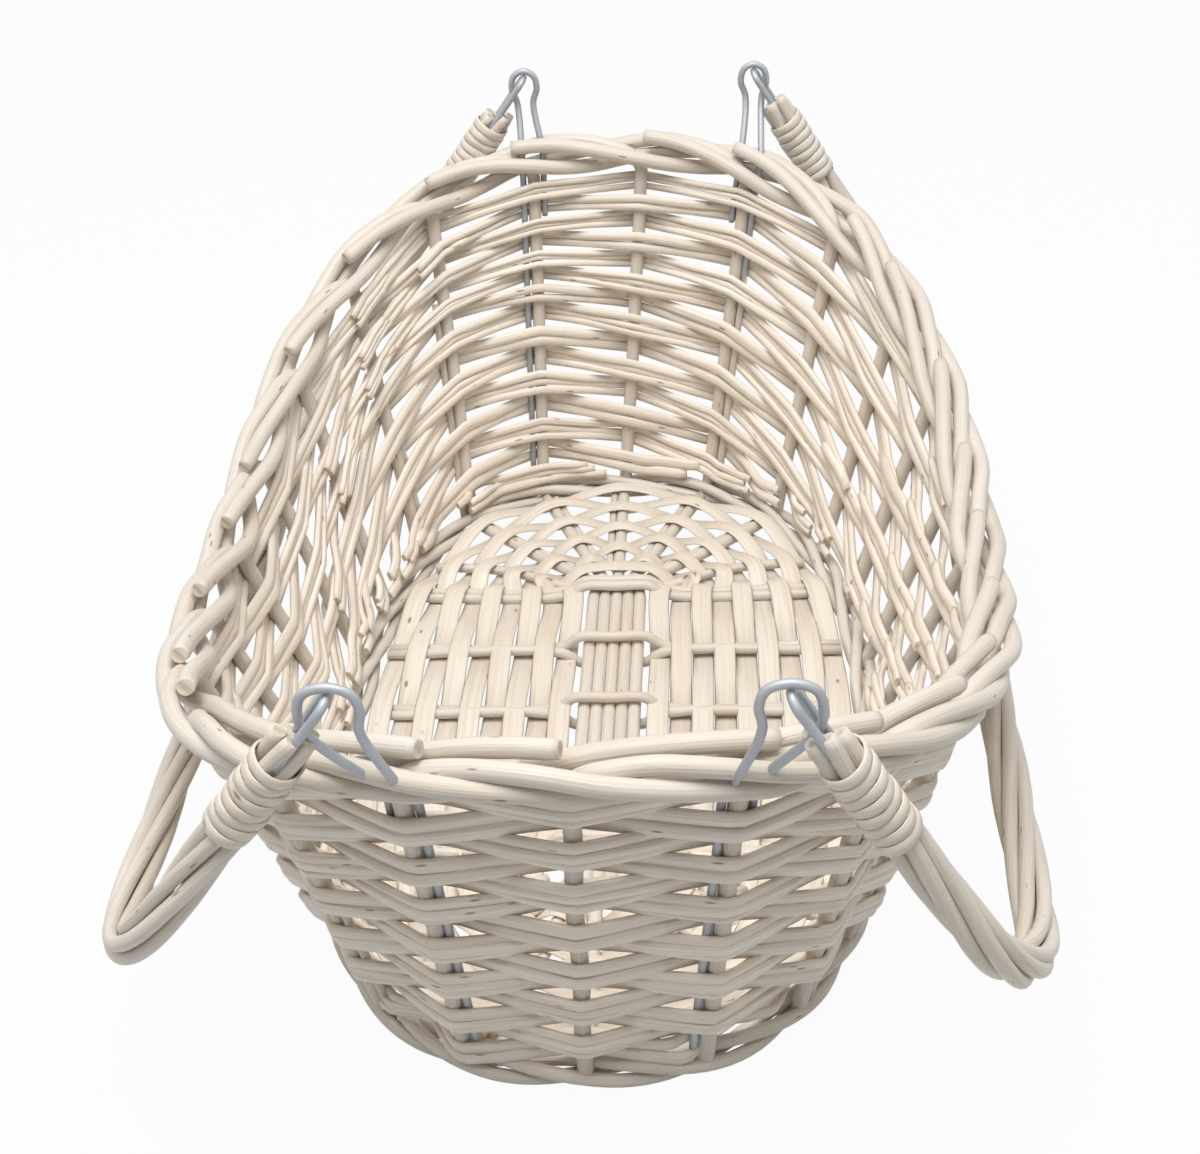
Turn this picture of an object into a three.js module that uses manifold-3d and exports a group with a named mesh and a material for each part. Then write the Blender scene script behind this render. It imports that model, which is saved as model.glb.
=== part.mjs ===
// Willow basket with two drop handles, in millimetres.
// +X is to the basket's right, +Y along its length, +Z up; the origin is the base's centre on the floor.
// The rim is saddle shaped: high at both ends, low along both sides.
import * as THREE from 'three';
import { mergeVertices } from 'three/addons/utils/BufferGeometryUtils.js';
import Module from 'manifold-3d';

const wasm = await Module();
wasm.setup();

// Overall form, measured on the line that the stakes follow
const RIM_HALF_WIDTH = 160;
const RIM_HALF_LENGTH = 238;
const RIM_SQUARENESS = 2.57;
const BASE_HALF_WIDTH = 118;
const BASE_HALF_LENGTH = 203;
const BASE_SQUARENESS = 2.54;
const SIDE_HEIGHT = 108;
const END_HEIGHT = 184.5;
const SADDLE_POWER = 1.27;

// Lean of the stakes, in stake spacings: the same all round the rim, and more at the ends towards +X
const LEAN_ALL = 0.08;
const LEAN_ENDS = 0.19;

// Clearance between pieces that touch
const GAP = 0.4;

// Stakes, siding and the wale at the foot
const STAKE_COUNT = 24;
const STAKE_RADIUS = 3.25;
const STAKE_SIDES = 6;
const ROW_COUNT = 10;
const ROW_THICKNESS = 3.2;
const ROW_FILL = 0.84;
const ROW_FLAT_MARGIN = 1.1;
const WALE_HEIGHT = 14;
const WALE_HALF_WIDTH = 7.2;
const WALE_FOOT_HALF_WIDTH = 6;

// Border of three rods laid round each other
const BORDER_RODS = 3;
const BORDER_ROD_RADIUS = 4.2;
const BORDER_ROD_GAP = 2.1;
const BORDER_TURNS = 8;
const BORDER_STEPS = 64;
const BORDER_SIDES = 6;
const BORDER_SEAT = 0.8;

// Samples round an oval, and the share of it over which its direction is taken
const OVAL_SAMPLES = 720;
const OVAL_STEP = 0.001;

// Base sticks and skeins
const LONG_STICKS = 5;
const LONG_STICK_RADIUS = 3;
const STICK_PRESS = 0.4;
const STICK_SIDES = 6;
const FAN_LEAD = 1.1;
const FAN_TIP_EXTRA = 1.2;
const FOOT_CLEARANCE = 0.6;
const CROSS_PAIRS = 5;
const CROSS_PITCH = 46.5;
const CROSS_SHIFT = 7;
const CROSS_RADIUS = 2.5;
const CROSS_GRIP = 1;
const CROSS_EASE = 7;
const SKEIN_WIDTH = 10.5;
const SKEIN_THICKNESS = 1.2;
const SKEIN_SPACING = 1.2;
const SKEIN_SIDE_LEAD = 27;
const SKEIN_END_LEAD = 21;
const SKEIN_EASE_CROSS = 0.5;
const SKEIN_EASE_FAN = 1.4;
const SKEIN_HALVINGS = 40;

// Wire loops on the rim and wire eyes on the handles
const WIRE_RADIUS = 1.6;
const WIRE_SIDES = 6;
const LINK_SPREAD_FRONT = 14;
const LINK_SPREAD_REAR = 3;
const LINK_LEAN = 15;
const LINK_RISE = 39;
const LINK_PLAY = 0.5;
const ARCH_HALF_WIDTH = 8.6;
const ARCH_SHOULDER = 1;
const ARCH_TAPER = 0.6;
const ARCH_NECK = 5;
const ARCH_DROP = 10;
const ARCH_LEAD = 5;
const ARCH_STEPS = 20;
const SHORT_LEG = 22;
const HOLE_CLEARANCE = 0.7;
const HOLE_OVERRUN = 3;
const EYE_PLAY = 1.4;
const EYE_GRIP = 16;
const EYE_STEPS = 8;

// Handles: a bow of five rods, laid round each other, with a skein binding at each end
const HANDLE_OUTSIDE_RIM = 3;
const HANDLE_BELOW_RIM = 38;
const HANDLE_CORNER_RADIUS = 65;
const HANDLE_RADIUS = 9;
const HANDLE_GROOVE = 1.5;
const HANDLE_RODS = 5;
const HANDLE_TURN_LENGTH = 260;
const HANDLE_START = 20;
const HANDLE_LEG_STEPS = 5;
const HANDLE_CORNER_STEPS = 6;
const HANDLE_MIDDLE_STEPS = 12;
const BINDING_INSET = 7;
const BINDING_TURNS = 7;
const BINDING_SPACING = 0.7;
const BINDING_STEPS = 10;
const BINDING_HALF_WIDTH = 2.65;
const BINDING_HALF_THICKNESS = 0.8;
const BINDING_CLEARANCE = 1;

// Share of a flat rod's or skein's width that is level
const FLAT_SHARE = 0.62;

// Finishes
const willow = { color: 0xdccdb8, roughness: 0.6, metalness: 0 };
const peeled = { color: 0xe6d9c6, roughness: 0.55, metalness: 0 };
const zinc = { color: 0xa9aeb4, roughness: 0.42, metalness: 0.85 };

const up = new THREE.Vector3(0, 0, 1);
const basket = new THREE.Group();

function place(parent, name, geometry, finish) {
  const mesh = new THREE.Mesh(geometry, new THREE.MeshStandardMaterial(finish));
  mesh.name = name;
  parent.add(mesh);
  return mesh;
}

function fromArrays(positions, index) {
  const geometry = new THREE.BufferGeometry();
  geometry.setAttribute('position', new THREE.Float32BufferAttribute(positions, 3));
  geometry.setIndex(index);
  return geometry;
}

// Joins rings of equal point counts into one closed solid
function loft(rings, closed) {
  const sides = rings[0].length;
  const points = rings.flat();
  const index = [];
  const last = closed ? rings.length : rings.length - 1;
  for (let i = 0; i < last; i++) {
    const a = i * sides;
    const b = ((i + 1) % rings.length) * sides;
    for (let j = 0; j < sides; j++) {
      const k = (j + 1) % sides;
      index.push(a + j, a + k, b + k, a + j, b + k, b + j);
    }
  }
  if (!closed) {
    const end = (rings.length - 1) * sides;
    for (let j = 1; j < sides - 1; j++) {
      index.push(0, j + 1, j);
      index.push(end, end + j, end + j + 1);
    }
  }
  const geometry = fromArrays(points.flatMap((p) => p.toArray()), index);
  return volume(geometry) > 0 ? geometry : turnedOut(geometry);
}

function volume(geometry) {
  const p = geometry.attributes.position;
  const index = geometry.index.array;
  const [a, b, c] = [new THREE.Vector3(), new THREE.Vector3(), new THREE.Vector3()];
  let sum = 0;
  for (let i = 0; i < index.length; i += 3) {
    a.fromBufferAttribute(p, index[i]);
    b.fromBufferAttribute(p, index[i + 1]);
    c.fromBufferAttribute(p, index[i + 2]);
    sum += a.dot(b.cross(c)) / 6;
  }
  return sum;
}

function turnedOut(geometry) {
  const index = Array.from(geometry.index.array);
  for (let i = 0; i < index.length; i += 3) [index[i], index[i + 1]] = [index[i + 1], index[i]];
  geometry.setIndex(index);
  return geometry;
}

// Booleans
function solid(geometry) {
  const bare = geometry.clone();
  bare.deleteAttribute('normal');
  bare.deleteAttribute('uv');
  const merged = mergeVertices(bare, 1e-5);
  const vertProperties = new Float32Array(merged.attributes.position.array);
  const triVerts = new Uint32Array(merged.index.array);
  return new wasm.Manifold(new wasm.Mesh({ numProp: 3, vertProperties, triVerts }));
}

function fromSolid(body) {
  const mesh = body.getMesh();
  return fromArrays(mesh.vertProperties, Array.from(mesh.triVerts));
}

function join(geometries) {
  return fromSolid(geometries.map(solid).reduce((a, b) => a.add(b)));
}

function cut(geometry, tools) {
  return fromSolid(tools.map(solid).reduce((a, b) => a.subtract(b), solid(geometry)));
}

// A tube or bar along a list of points; section(i) gives its outline as pairs along its two cross axes
function sweep(points, section, { closed = false, side = null } = {}) {
  const count = points.length;
  const rings = [];
  let reference = null;
  for (let i = 0; i < count; i++) {
    const before = points[closed ? (i - 1 + count) % count : Math.max(i - 1, 0)];
    const after = points[closed ? (i + 1) % count : Math.min(i + 1, count - 1)];
    const tangent = after.clone().sub(before).normalize();
    if (side) reference = side(i).clone();
    else if (!reference) reference = up.clone();
    reference.addScaledVector(tangent, -reference.dot(tangent)).normalize();
    const other = tangent.clone().cross(reference);
    const spot = ([u, v]) => points[i].clone().addScaledVector(reference, u).addScaledVector(other, v);
    rings.push(section(i).map(spot));
  }
  return loft(rings, closed);
}

function circle(radius, sides, turn = 0) {
  return Array.from({ length: sides }, (_, j) => {
    const angle = turn + (2 * Math.PI * j) / sides;
    return [radius * Math.cos(angle), radius * Math.sin(angle)];
  });
}

function flattened(halfWidth, halfThickness) {
  const shoulder = halfWidth * FLAT_SHARE;
  return [
    [halfWidth, 0],
    [shoulder, halfThickness],
    [-shoulder, halfThickness],
    [-halfWidth, 0],
    [-shoulder, -halfThickness],
    [shoulder, -halfThickness],
  ];
}

function tube(points, radius, sides, turn = 0) {
  return sweep(points, () => circle(radius, sides, turn));
}

// Ovals, walked by equal lengths from the far end (+Y) towards +X
function oval(halfWidth, halfLength, squareness) {
  const points = [];
  const lengths = [0];
  for (let i = 0; i <= OVAL_SAMPLES; i++) {
    const angle = (2 * Math.PI * i) / OVAL_SAMPLES;
    const s = Math.sin(angle);
    const c = Math.cos(angle);
    const x = Math.sign(s) * Math.abs(s) ** (2 / squareness) * halfWidth;
    const y = Math.sign(c) * Math.abs(c) ** (2 / squareness) * halfLength;
    points.push(new THREE.Vector2(x, y));
    if (i > 0) lengths.push(lengths[i - 1] + points[i].distanceTo(points[i - 1]));
  }
  const total = lengths[OVAL_SAMPLES];
  function at(share) {
    const target = (((share % 1) + 1) % 1) * total;
    let i = 1;
    while (lengths[i] < target) i++;
    const part = (target - lengths[i - 1]) / (lengths[i] - lengths[i - 1]);
    return points[i - 1].clone().lerp(points[i], part);
  }
  return { at, total };
}

const rimOval = oval(RIM_HALF_WIDTH, RIM_HALF_LENGTH, RIM_SQUARENESS);
const baseOval = oval(BASE_HALF_WIDTH, BASE_HALF_LENGTH, BASE_SQUARENESS);

function footPoint(share) {
  const p = baseOval.at(share);
  return new THREE.Vector3(p.x, p.y, 0);
}

function rimPoint(share) {
  const p = rimOval.at(share);
  const endShare = Math.abs(p.y / RIM_HALF_LENGTH) ** ((RIM_SQUARENESS * SADDLE_POWER) / 2);
  return new THREE.Vector3(p.x, p.y, SIDE_HEIGHT + (END_HEIGHT - SIDE_HEIGHT) * endShare);
}

// Where the rim is reached by the stake line that starts at this share of the base
function rimShare(share) {
  return share + (LEAN_ALL + LEAN_ENDS * Math.cos(2 * Math.PI * share)) / STAKE_COUNT;
}

// The wall: its stake direction, outward normal and points at a distance along the stake
function wall(share) {
  const foot = footPoint(share);
  const rim = rimPoint(rimShare(share));
  const rise = rim.clone().sub(foot);
  const length = rise.length();
  rise.normalize();
  const [before, after] = [share - OVAL_STEP, share + OVAL_STEP];
  const along = rimPoint(rimShare(after)).sub(rimPoint(rimShare(before)));
  along.add(footPoint(after)).sub(footPoint(before));
  along.addScaledVector(rise, -along.dot(rise)).normalize();
  const out = along.clone().cross(rise);
  if (out.x * rim.x + out.y * rim.y < 0) out.negate();
  return {
    foot, rim, rise, along, out, length,
    at: (distance, offset = 0) => foot.clone().addScaledVector(rise, distance).addScaledVector(out, offset),
  };
}

function stakeShare(k) {
  return k / STAKE_COUNT;
}

const rodCircle = (2 * BORDER_ROD_RADIUS + BORDER_ROD_GAP) / (2 * Math.sin(Math.PI / BORDER_RODS));
const borderRadius = rodCircle + BORDER_ROD_RADIUS;
const rowOffset = STAKE_RADIUS + GAP + ROW_THICKNESS / 2;
const wallHalf = rowOffset + ROW_THICKNESS / 2;
const wireOffset = STAKE_RADIUS + GAP + WIRE_RADIUS;
const rowFlat = wireOffset + WIRE_RADIUS + ROW_FLAT_MARGIN;

// Distances along a stake where the siding starts and ends
function sidingStart(w) {
  return (WALE_HEIGHT + GAP + wallHalf * Math.abs(w.out.z)) / w.rise.z;
}

function sidingEnd(w) {
  return w.length - borderRadius - BORDER_SEAT;
}

// Slides a ring of points along a direction on to a level plane
function toLevel(points, direction, level) {
  return points.map((p) => p.clone().addScaledVector(direction, (level - p.z) / direction.z));
}

function stake(k) {
  const w = wall(stakeShare(k));
  const ring = circle(STAKE_RADIUS, STAKE_SIDES);
  const at = (distance) => ring.map(([u, v]) => w.at(distance, v).addScaledVector(w.along, u));
  const level = WALE_HEIGHT + GAP;
  return loft([toLevel(at(level), w.rise, level), at(sidingEnd(w))], false);
}

function sidingRow(i) {
  const points = [];
  const outs = [];
  const heights = [];
  for (let k = 0; k < STAKE_COUNT; k++) {
    const offset = (k + i) % 2 === 0 ? rowOffset : -rowOffset;
    for (const edge of [-1, 1]) {
      const share = stakeShare(k) + (edge * rowFlat) / ((rimOval.total + baseOval.total) / 2);
      const w = wall(share);
      const start = sidingStart(w);
      const pitch = (sidingEnd(w) - start) / ROW_COUNT;
      points.push(w.at(start + (i + 0.5) * pitch, offset));
      outs.push(w.rise);
      heights.push((pitch * ROW_FILL) / 2);
    }
  }
  const section = (n) => flattened(heights[n], ROW_THICKNESS / 2);
  return sweep(points, section, { closed: true, side: (n) => outs[n] });
}

// The wale round the foot has a level underside, which the basket stands on
function wale() {
  const rings = [];
  for (let k = 0; k < STAKE_COUNT * 2; k++) {
    const w = wall(stakeShare(k / 2));
    const flat = new THREE.Vector3(w.out.x, w.out.y, 0).normalize();
    const outline = [
      [-WALE_FOOT_HALF_WIDTH, 0],
      [WALE_FOOT_HALF_WIDTH, 0],
      [WALE_HALF_WIDTH, WALE_HEIGHT / 2],
      [WALE_FOOT_HALF_WIDTH, WALE_HEIGHT],
      [-WALE_FOOT_HALF_WIDTH, WALE_HEIGHT],
      [-WALE_HALF_WIDTH, WALE_HEIGHT / 2],
    ];
    rings.push(outline.map(([u, z]) => w.foot.clone().addScaledVector(flat, u).addScaledVector(up, z)));
  }
  return loft(rings, true);
}

function borderRod(j, holes) {
  const points = [];
  for (let i = 0; i < BORDER_STEPS; i++) {
    const share = i / BORDER_STEPS;
    const w = wall(share);
    const angle = 2 * Math.PI * (j / BORDER_RODS + BORDER_TURNS * share);
    const p = w.rim.clone().addScaledVector(w.out, rodCircle * Math.cos(angle));
    points.push(p.addScaledVector(w.rise, rodCircle * Math.sin(angle)));
  }
  const ring = sweep(points, () => circle(BORDER_ROD_RADIUS, BORDER_SIDES), {
    closed: true,
    side: (i) => wall(i / BORDER_STEPS).out,
  });
  return cut(ring, holes);
}

// The four places where a wire loop stands on the rim
const corners = [
  { name: 'front_left', side: -1, end: -1, k: STAKE_COUNT / 2 + 1 },
  { name: 'front_right', side: 1, end: -1, k: STAKE_COUNT / 2 - 1 },
  { name: 'rear_left', side: -1, end: 1, k: STAKE_COUNT - 1 },
  { name: 'rear_right', side: 1, end: 1, k: 1 },
];

function wireLegs(corner) {
  const w = wall(stakeShare(corner.k));
  const tall = (distance) => w.at(distance).addScaledVector(w.along, wireOffset * legSide(corner, w));
  const short = (distance) => w.at(distance).addScaledVector(w.along, -wireOffset * legSide(corner, w));
  return { w, tall, short };
}

// Where a handle's wire eye hangs in a wire loop: all four are level, and equally far along the basket
const cornerRims = corners.map((corner) => wall(stakeShare(corner.k)).rim);
const mean = (values) => values.reduce((a, b) => a + b, 0) / values.length;
const linkReach = mean(cornerRims.map((rim) => Math.abs(rim.y))) + LINK_LEAN;
const linkHeight = mean(cornerRims.map((rim) => rim.z)) + LINK_RISE;
function linkPoint(corner) {
  const spread = corner.end < 0 ? LINK_SPREAD_FRONT : LINK_SPREAD_REAR;
  const rim = wall(stakeShare(corner.k)).rim;
  return new THREE.Vector3(rim.x + corner.side * spread, corner.end * linkReach, linkHeight);
}

const eyeBend = 2 * WIRE_RADIUS + EYE_PLAY;
const eyeLength = HANDLE_START + EYE_GRIP;

// The long leg runs on the outer side of a rear stake and on the inner side of a front one
function legSide(corner, w) {
  return Math.sign(w.along.x) * corner.side * corner.end;
}

function rimWire(corner) {
  const { w, tall, short } = wireLegs(corner);
  const link = linkPoint(corner);
  const arch = (x, z) => new THREE.Vector3(link.x + corner.side * corner.end * x, link.y, link.z + z);
  const top = 2 * WIRE_RADIUS + LINK_PLAY;
  const clear = w.length + borderRadius;
  const curve = new THREE.CatmullRomCurve3([
    tall(clear - ARCH_LEAD),
    tall(clear),
    arch(ARCH_NECK, -ARCH_DROP),
    arch(ARCH_HALF_WIDTH - ARCH_TAPER, -ARCH_SHOULDER),
    arch(0, top),
    arch(ARCH_TAPER - ARCH_HALF_WIDTH, -ARCH_SHOULDER),
    arch(-ARCH_NECK, -ARCH_DROP),
    short(clear),
    short(clear - ARCH_LEAD),
  ], false, 'centripetal');
  const ends = [tall(sidingStart(w)), short(w.length - SHORT_LEG)];
  return tube([ends[0], ...curve.getPoints(ARCH_STEPS), ends[1]], WIRE_RADIUS, WIRE_SIDES);
}

function wireHoles() {
  const reach = borderRadius + HOLE_OVERRUN;
  return corners.flatMap((corner) => {
    const { w, tall, short } = wireLegs(corner);
    const line = (leg) => [leg(w.length - reach), leg(w.length + reach)];
    return [tall, short].map((leg) => tube(line(leg), WIRE_RADIUS + HOLE_CLEARANCE, WIRE_SIDES));
  });
}

// Base
const longStickShares = Array.from({ length: LONG_STICKS }, (_, n) => n - (LONG_STICKS - 1) / 2);
const longStickPitch = 2 * LONG_STICK_RADIUS - STICK_PRESS;
const crossRodPitch = 2 * CROSS_RADIUS - STICK_PRESS;
const bundleHalf = ((LONG_STICKS - 1) / 2) * longStickPitch + LONG_STICK_RADIUS;
const fanStart = crossLine(CROSS_PAIRS - 1) + crossRodPitch / 2 + CROSS_RADIUS + FAN_LEAD;
const stickLevel = LONG_STICK_RADIUS + GAP + 2 * CROSS_RADIUS + FOOT_CLEARANCE;
const crossFlat = crossRodPitch / 2 + CROSS_RADIUS + GAP;
const fanTipReach = WALE_HALF_WIDTH + GAP + FAN_TIP_EXTRA;
const tipOval = oval(BASE_HALF_WIDTH - fanTipReach, BASE_HALF_LENGTH - fanTipReach, BASE_SQUARENESS);

function longStick(n, end) {
  const k = longStickShares[n];
  const x = k * longStickPitch;
  const tip = tipOval.at(stakeShare(k));
  return [[x, 0], [x, fanStart], [tip.x, tip.y]].map(([px, py]) => new THREE.Vector2(px, end * py));
}

const lift = (p, z = stickLevel) => new THREE.Vector3(p.x, p.y, z);

function longSticks() {
  return join(longStickShares.map((_, n) => {
    const [, nearFan, nearTip] = longStick(n, -1);
    const [, farFan, farTip] = longStick(n, 1);
    const line = [nearTip, nearFan, farFan, farTip].map((p) => lift(p));
    return tube(line, LONG_STICK_RADIUS, STICK_SIDES, Math.PI / STICK_SIDES);
  }));
}

function crossLine(n) {
  return (n - (CROSS_PAIRS - 1) / 2) * CROSS_PITCH + CROSS_SHIFT;
}

function insideWidth(y, reach) {
  const a = BASE_HALF_WIDTH - reach;
  const b = BASE_HALF_LENGTH - reach;
  return a * (1 - Math.abs(y / b) ** BASE_SQUARENESS) ** (1 / BASE_SQUARENESS);
}

// Each pair of cross rods grips the long sticks, one rod over them and one under
function crossPair(n) {
  const half = bundleHalf + CROSS_GRIP;
  const rise = LONG_STICK_RADIUS + GAP + CROSS_RADIUS;
  return join([1, -1].map((sign) => {
    const y = crossLine(n) + (sign * crossRodPitch) / 2;
    const x = insideWidth(y, WALE_HALF_WIDTH + GAP);
    const points = [
      [-x, 0],
      [-half - CROSS_EASE, 0],
      [-half, sign * rise],
      [half, sign * rise],
      [half + CROSS_EASE, 0],
      [x, 0],
    ];
    const line = points.map(([px, dz]) => new THREE.Vector3(px, y, stickLevel + dz));
    return tube(line, CROSS_RADIUS, STICK_SIDES, Math.PI / STICK_SIDES);
  }));
}

// The places, walked clockwise from the far centre, where a turn of the skein crosses a stick.
// The skein runs level across the two rods of a pair.
function crossings() {
  const far = longStickShares.map((_, n) => ({ lines: [longStick(n, 1).slice(1)], fan: true }));
  const near = longStickShares.map((_, n) => ({ lines: [longStick(n, -1).slice(1)], fan: true }));
  const pairs = Array.from({ length: CROSS_PAIRS }, (_, n) => crossLine(n));
  const across = (y, sign) => [new THREE.Vector2(0, y), new THREE.Vector2(sign * BASE_HALF_WIDTH, y)];
  const side = (sign) => pairs.map((y) => ({
    lines: [sign, -sign].map((edge) => across(y + edge * crossFlat, sign)),
    fan: false,
  }));
  return [...far.slice(2), ...side(1).reverse(), ...near.reverse(), ...side(-1), ...far.slice(0, 2)];
}

function crossingPoint(line, halfWidth, halfLength) {
  const [from, to] = line;
  const part = (value, half) => Math.abs(value / half) ** BASE_SQUARENESS;
  const inside = (p) => part(p.x, halfWidth) + part(p.y, halfLength) < 1;
  let low = 0;
  let high = 1;
  for (let i = 0; i < SKEIN_HALVINGS; i++) {
    const middle = (low + high) / 2;
    if (inside(from.clone().lerp(to, middle))) low = middle;
    else high = middle;
  }
  return from.clone().lerp(to, low);
}

// One flat skein winds outwards, over one stick and under the next
function baseWeave() {
  const list = crossings();
  const edge = WALE_HALF_WIDTH + SKEIN_SPACING + SKEIN_WIDTH / 2;
  const [startWidth, startLength] = [bundleHalf + SKEIN_SIDE_LEAD, fanStart + SKEIN_END_LEAD];
  const [endWidth, endLength] = [BASE_HALF_WIDTH - edge, BASE_HALF_LENGTH - edge];
  const room = Math.min(endWidth - startWidth, endLength - startLength);
  const turns = Math.floor(room / (SKEIN_WIDTH + SKEIN_SPACING));
  const points = [];
  for (let turn = 0; turn < turns; turn++) {
    list.forEach(({ lines, fan }, k) => {
      const share = (turn + k / list.length) / turns;
      const a = startWidth + (endWidth - startWidth) * share;
      const b = startLength + (endLength - startLength) * share;
      const over = (k + turn) % 2 === 0 || (turn === 0 && fan);
      const stick = fan ? LONG_STICK_RADIUS + SKEIN_EASE_FAN : CROSS_RADIUS + SKEIN_EASE_CROSS;
      const rise = (stick + SKEIN_THICKNESS / 2) * (over ? 1 : -1);
      for (const line of lines) points.push(lift(crossingPoint(line, a, b), stickLevel + rise));
    });
  }
  const section = [
    [SKEIN_THICKNESS / 2, SKEIN_WIDTH / 2], [-SKEIN_THICKNESS / 2, SKEIN_WIDTH / 2],
    [-SKEIN_THICKNESS / 2, -SKEIN_WIDTH / 2], [SKEIN_THICKNESS / 2, -SKEIN_WIDTH / 2],
  ];
  return sweep(points, () => section, { side: () => up });
}

// Handles: each turns about the line through its two wire loops, and hangs from it outside the basket
function hang(side) {
  const [front, rear] = [-1, 1].map((end) => linkPoint(corners.find((c) => c.side === side && c.end === end)));
  const middle = front.clone().add(rear).divideScalar(2);
  const axis = rear.clone().sub(front).normalize();
  const halfSpan = rear.distanceTo(front) / 2;
  const hangOut = RIM_HALF_WIDTH + HANDLE_OUTSIDE_RIM - side * middle.x;
  const hangDown = middle.z - SIDE_HEIGHT + HANDLE_BELOW_RIM;
  const angle = Math.atan2(hangOut, hangDown);
  const out = axis.clone().cross(up).multiplyScalar(side);
  const down = out.clone().multiplyScalar(Math.sin(angle)).addScaledVector(up, -Math.cos(angle));
  const face = out.clone().multiplyScalar(Math.cos(angle)).addScaledVector(up, Math.sin(angle));
  const reach = Math.hypot(hangOut, hangDown);
  // The grip runs along the basket, so the leg under the inner loop is the longer one
  const slope = (-side * axis.x) / Math.sin(angle);
  // A point in the handle's own plane: v along the pivot line, depth away from it
  const at = (v, depth) => middle.clone().addScaledVector(axis, v).addScaledVector(down, depth);
  return { middle, axis, halfSpan, angle, down, face, reach, slope, at };
}

function bow({ halfSpan, reach, slope, face, at }) {
  const corner = HANDLE_CORNER_RADIUS;
  const flat = [];
  const legEnd = reach - corner;
  for (let i = 0; i < HANDLE_LEG_STEPS; i++) {
    flat.push([-halfSpan, HANDLE_START + ((legEnd - HANDLE_START) * i) / HANDLE_LEG_STEPS]);
  }
  for (let i = 0; i < HANDLE_CORNER_STEPS; i++) {
    const angle = (Math.PI / 2) * (i / HANDLE_CORNER_STEPS);
    flat.push([-halfSpan + corner - corner * Math.cos(angle), legEnd + corner * Math.sin(angle)]);
  }
  const run = halfSpan - corner;
  for (let i = 0; i <= HANDLE_MIDDLE_STEPS / 2; i++) {
    flat.push([-run + (run * 2 * i) / HANDLE_MIDDLE_STEPS, reach]);
  }
  const mirrored = flat.slice(0, -1).reverse().map(([v, depth]) => [-v, depth]);
  const points = [...flat, ...mirrored].map(([v, depth]) => (
    at(v, depth + (slope * v * (depth - HANDLE_START)) / (reach - HANDLE_START))));
  const lengths = points.map(() => 0);
  for (let i = 1; i < points.length; i++) lengths[i] = lengths[i - 1] + points[i].distanceTo(points[i - 1]);
  const section = (i) => {
    const turn = (2 * Math.PI * lengths[i]) / HANDLE_TURN_LENGTH;
    return Array.from({ length: HANDLE_RODS * 2 }, (_, j) => {
      const angle = turn + (Math.PI * j) / HANDLE_RODS;
      const radius = j % 2 === 0 ? HANDLE_RADIUS : HANDLE_RADIUS - HANDLE_GROOVE;
      return [radius * Math.cos(angle), radius * Math.sin(angle)];
    });
  };
  const rods = sweep(points, section, { side: () => face });
  const holes = [-1, 1].flatMap((end) => [-1, 1].map((leg) => {
    const v = end * halfSpan + leg * eyeBend;
    const line = [HANDLE_START - HOLE_OVERRUN, eyeLength + GAP].map((depth) => at(v, depth));
    return tube(line, WIRE_RADIUS + HOLE_CLEARANCE, WIRE_SIDES);
  }));
  return cut(rods, holes);
}

// A hairpin of wire: its bend is the pivot and its legs are held inside the rod ends
function eye({ halfSpan, face, at }, end) {
  const flat = [[-eyeBend, eyeLength]];
  for (let i = 0; i <= EYE_STEPS; i++) {
    const angle = (Math.PI * i) / EYE_STEPS;
    flat.push([-eyeBend * Math.cos(angle), eyeBend - eyeBend * Math.sin(angle)]);
  }
  flat.push([eyeBend, eyeLength]);
  const points = flat.map(([v, depth]) => at(end * halfSpan + v, depth));
  return sweep(points, () => circle(WIRE_RADIUS, WIRE_SIDES), { side: () => face });
}

const bindingPitch = 2 * BINDING_HALF_WIDTH + BINDING_SPACING;

// A flat skein wound round the rod ends, with a straight tail at each end
function bindingRings({ halfSpan, axis: across, down: axis, at }, end) {
  const radius = HANDLE_RADIUS + BINDING_CLEARANCE + BINDING_HALF_THICKNESS;
  const face = axis.clone().cross(across);
  const rings = [];
  const ring = (centre, radial) => flattened(BINDING_HALF_WIDTH, BINDING_HALF_THICKNESS)
    .map(([u, v]) => centre.clone().addScaledVector(axis, u).addScaledVector(radial, v));
  const steps = BINDING_TURNS * BINDING_STEPS;
  const tail = 2 * BINDING_HALF_WIDTH;
  for (let i = 0; i <= steps; i++) {
    const angle = (2 * Math.PI * i) / BINDING_STEPS;
    const depth = HANDLE_START + BINDING_INSET + BINDING_HALF_WIDTH + (bindingPitch * i) / BINDING_STEPS;
    const radial = across.clone().multiplyScalar(Math.cos(angle)).addScaledVector(face, Math.sin(angle));
    const forward = across.clone().multiplyScalar(-Math.sin(angle)).addScaledVector(face, Math.cos(angle));
    const centre = at(end * halfSpan, depth).addScaledVector(radial, radius);
    if (i === 0) rings.push(ring(centre.clone().addScaledVector(forward, -tail), radial));
    rings.push(ring(centre, radial));
    if (i === steps) rings.push(ring(centre.clone().addScaledVector(forward, tail), radial));
  }
  return rings;
}

// Least distance between one turn of a winding and the next, measured on the points of its outline
function leastGap(rings, stepsPerTurn) {
  let least = Infinity;
  for (let i = 0; i < rings.length; i++) {
    for (let j = i + stepsPerTurn / 2; j < rings.length; j++) {
      for (const p of rings[i]) for (const q of rings[j]) least = Math.min(least, p.distanceTo(q));
    }
  }
  return least;
}

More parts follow.
